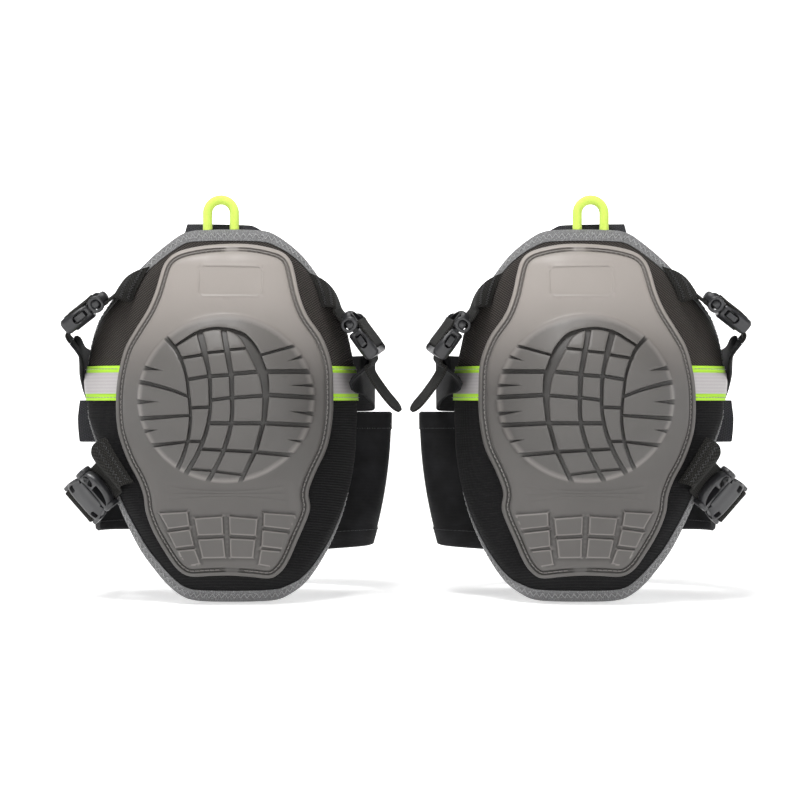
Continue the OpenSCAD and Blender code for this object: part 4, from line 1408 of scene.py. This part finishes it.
def build_pad(thread):
    def sewn(name, shape, material, slot, *stands_for, sharp=50):
        return make_pair(name, shape, material, "pad", stands_for, sharp)

    sewn("rubber_cap", make_cap(), rubber_material(), "cap_rubber", "cap", sharp=42)
    grey_thread = thread_material("grey_thread", linear(122, 118, 115))
    sewn("cap_thread", make_cap_stitches(), grey_thread, "cap_rubber")
    cover = layer(1.0, cover_low, cover_high, 40)
    for piece in sewn("fabric_cover", cover, cover_material(), "cover_fabric", "cover"):
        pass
    liner = layer(1.0, lambda a, z: 0 * a, lambda a, z: LINER + 0 * a, 30)
    for piece in sewn("spacer_liner", liner, liner_material(), "liner_fabric", "liner"):
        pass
    foam = layer(2.0, lambda a, z: LINER + BETWEEN + 0 * a, foam_h, 34)
    for piece in sewn("foam_padding", foam, foam_material(), "foam", "foam_core"):
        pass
    for piece in sewn("gel_cushion", make_gel(), gel_material(), "gel", "gel_insert"):
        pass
    sewn("edge_binding", make_binding(), tape_material(), "edge_tape", "binding")
    sewn("binding_thread", make_binding_stitches(), thread, "edge_tape")
    ribbon, silver = make_band(1.0, 24.0, 0.5, 0.9), make_band(5.5, 19.5, 1.2, 0.4)
    sewn("bright_ribbon", ribbon, hi_vis_material(), "hi_vis", "hi_vis_ribbon")
    sewn("silver_tape", silver, silver_material(), "reflective", "reflective_tape")
    sewn("ribbon_thread", make_band_stitches(), thread, "hi_vis")
    path = loop_path()
    loops = sewn("cord_loop", braided(path, LOOP_R), cord_material(), "hi_vis_cord", "pull_loop")
    for side, piece in zip(SIDES, loops):
        points = [world(p, side) for p in path]
        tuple(points[0])
        line_length(path) * MM
    dark_tape = webbing_material("dark_tape", linear(30, 30, 32), linear(70, 70, 74), 1.2, 1.4)
    sewn("sizing_tab", make_top_tab(), dark_tape, "cover_fabric", "top_tab")
    sewn("edge_tab", make_side_tab(), dark_tape, "cover_fabric", "side_tab")


def make_gel():
    """The gel cushion: a thin lens under the cover, over the kneecap."""
    angle = np.linspace(0, 2 * np.pi, 96, endpoint=False)
    top, low = [], []
    for r in np.linspace(0.06, 1, 20) * 0.98:
        a = np.degrees(np.arcsin(DOME_R[0] * r * np.cos(angle) / DOME_OUT))
        z = DOME_Z + DOME_R[1] * r * np.sin(angle)
        h = foam_h(a, z) + 0.1
        top.append(on_pad(a, z, h + np.maximum(GEL * dome(a, z) - 0.25, 0.3)))
        low.append(on_pad(a, z, h))
    return loft(top + low[::-1])


def build_straps(thread):
    elastic = elastic_material()
    for part, grid, stands_for in zip(("outer", "inner"), thigh_halves(), (("thigh_strap",), ())):
        shape = slab(grid, ELASTIC_T)
        middle = grid[:, grid.shape[1] // 2]
        length = line_length(middle)
        for side in SIDES:
            piece = make(f"thigh_elastic_{part}", shape, elastic, side, None,
                         stands_for)
            ends = [world(p, side) for p in (middle[0], middle[-1])]
            if part == "inner":
                ends.reverse()
            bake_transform(piece)
            min(outer_area(grid), 2 * THIGH_HALF * length * 1e-6)
    grid = panel_grid(PANEL_ROWS)
    t = np.where(abs(PANEL_ROWS) > 1 - 0.99 * HEM / PANEL_HALF, 3.0, ELASTIC_T)
    shape, lines = slab(grid, t), Shape()
    for v in (-0.77, 0.77):
        path = panel_grid([v - 0.01, v, v + 0.01])
        normal = directions(path)[2][:, 1]
        for face in (-1, 1):
            stitches(path[:, 1], face * normal, 2.8, 0.8, 0.28, 1.75, lines)
    middle = grid[:, grid.shape[1] // 2]
    for side in SIDES:
        panel = make("calf_elastic", shape, elastic, side, None, ("calf_panel",))
        sewing = make("calf_thread", lines, thread, side, None)
        for piece in (panel, sewing):
            world((-4, PANEL_BACK_Y, -57), side)
            world(middle[-1], side)
            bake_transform(piece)
        line_length(middle) * MM
        outer_area(grid)


# Each anchor webbing's foot on the cover: angle and height of its two corners.
ANCHORS = {
    "upper_outer": ((-30, 90), (-35, 66.5)),
    "upper_inner": ((45, 64), (40, 86)),
    "lower_outer": ((-47, -24), (-34, -53)),
}


def make_tail():
    """The free end of the inner upper buckle's webbing, rounded at its tip."""
    grid = web_grid([(19.4, -8.6), (23, -10.2), (30, -11.3), (44, -11.6), (57.6, -10.6)],
                    "upper_inner", 12.3, 13)
    for row, t in zip(grid[-5:], np.linspace(0.2, 1, 5)):
        row[:] = mix(row.mean(axis=0), row, math.sqrt(max(1 - t * t, 0.05)))
    return grid


def build_webbing(thread):
    webbing = webbing_material("webbing", linear(12, 12, 12), linear(48, 47, 44))
    for name in ("upper", "lower"):
        web, tacks = Shape(), Shape()
        for buckle, foot in ANCHORS.items():
            if buckle.startswith(name):
                grid = make_anchor(foot, buckle)
                slab(grid, WEB_T, web)
                bar_tacks(grid, (1, 3, 20), tacks)
        make_pair(f"{name}_webbing", web, webbing, "pad", (f"{name}_anchor_web",))
        make_pair(f"{name}_webbing_thread", tacks, thread, "pad")
    for buckle in BUCKLES:
        looped = buckle == "lower_outer"
        grid = web_grid(looped_path() if looped else threaded_path(), buckle)
        web, tacks = slab(grid, WEB_T), Shape()
        bar_tacks(grid, (4, 9) if looped else (-3,), tacks)
        if buckle == "upper_inner":
            slab(make_tail(), WEB_T, web)
        body = f"{buckle}_socket"
        make_pair(f"{buckle}_webbing", web, webbing, body, (f"{buckle}_web",))
        make_pair(f"{buckle}_webbing_thread", tacks, thread, body)


def bevelled(piece, width, segments, angle):
    edges = piece.modifiers.new("edges", "BEVEL")
    edges.width, edges.segments = width, segments
    edges.limit_method, edges.angle_limit = "ANGLE", math.radians(angle)
    edges.harden_normals = True
    return edges


def build_buckles():
    plastic = plastic_material()
    plug, channelled, plain = plug_shape(), socket_shape(False), socket_shape(True)
    for buckle in BUCKLES:
        socket = plain if buckle == "lower_outer" else channelled
        for part, shape, body in (("plug", plug, "pad"), ("socket", socket, f"{buckle}_socket")):
            moulded = Shape().add(placed(shape.verts, buckle), shape.faces)
            for piece in make_pair(f"{buckle}_{part}_shell", moulded, plastic, body,
                                   (f"{buckle}_{part}",), 32):
                bevelled(piece, 0.00025, 2, 32).use_clamp_overlap = False
        # The arms are the CAD's own.
        for name in [f"{side}_{buckle}_latch_{arm}" for side in SIDES for arm in "ab"]:
            node = frame["nodes"][name]
            node.data.materials.clear()
            node.data.materials.append(plastic)
            node.modifiers.new("weld", "WELD").merge_threshold = 2e-6
            bevelled(node, 0.0005, 3, 30)


def build():
    build_pad(thread_material("light_thread", linear(148, 148, 148)))
    dark_thread = thread_material("dark_thread", linear(46, 46, 48))
    build_straps(dark_thread)
    build_webbing(dark_thread)
    build_buckles()


build()
make_camera()
make_lights()
make_stage()
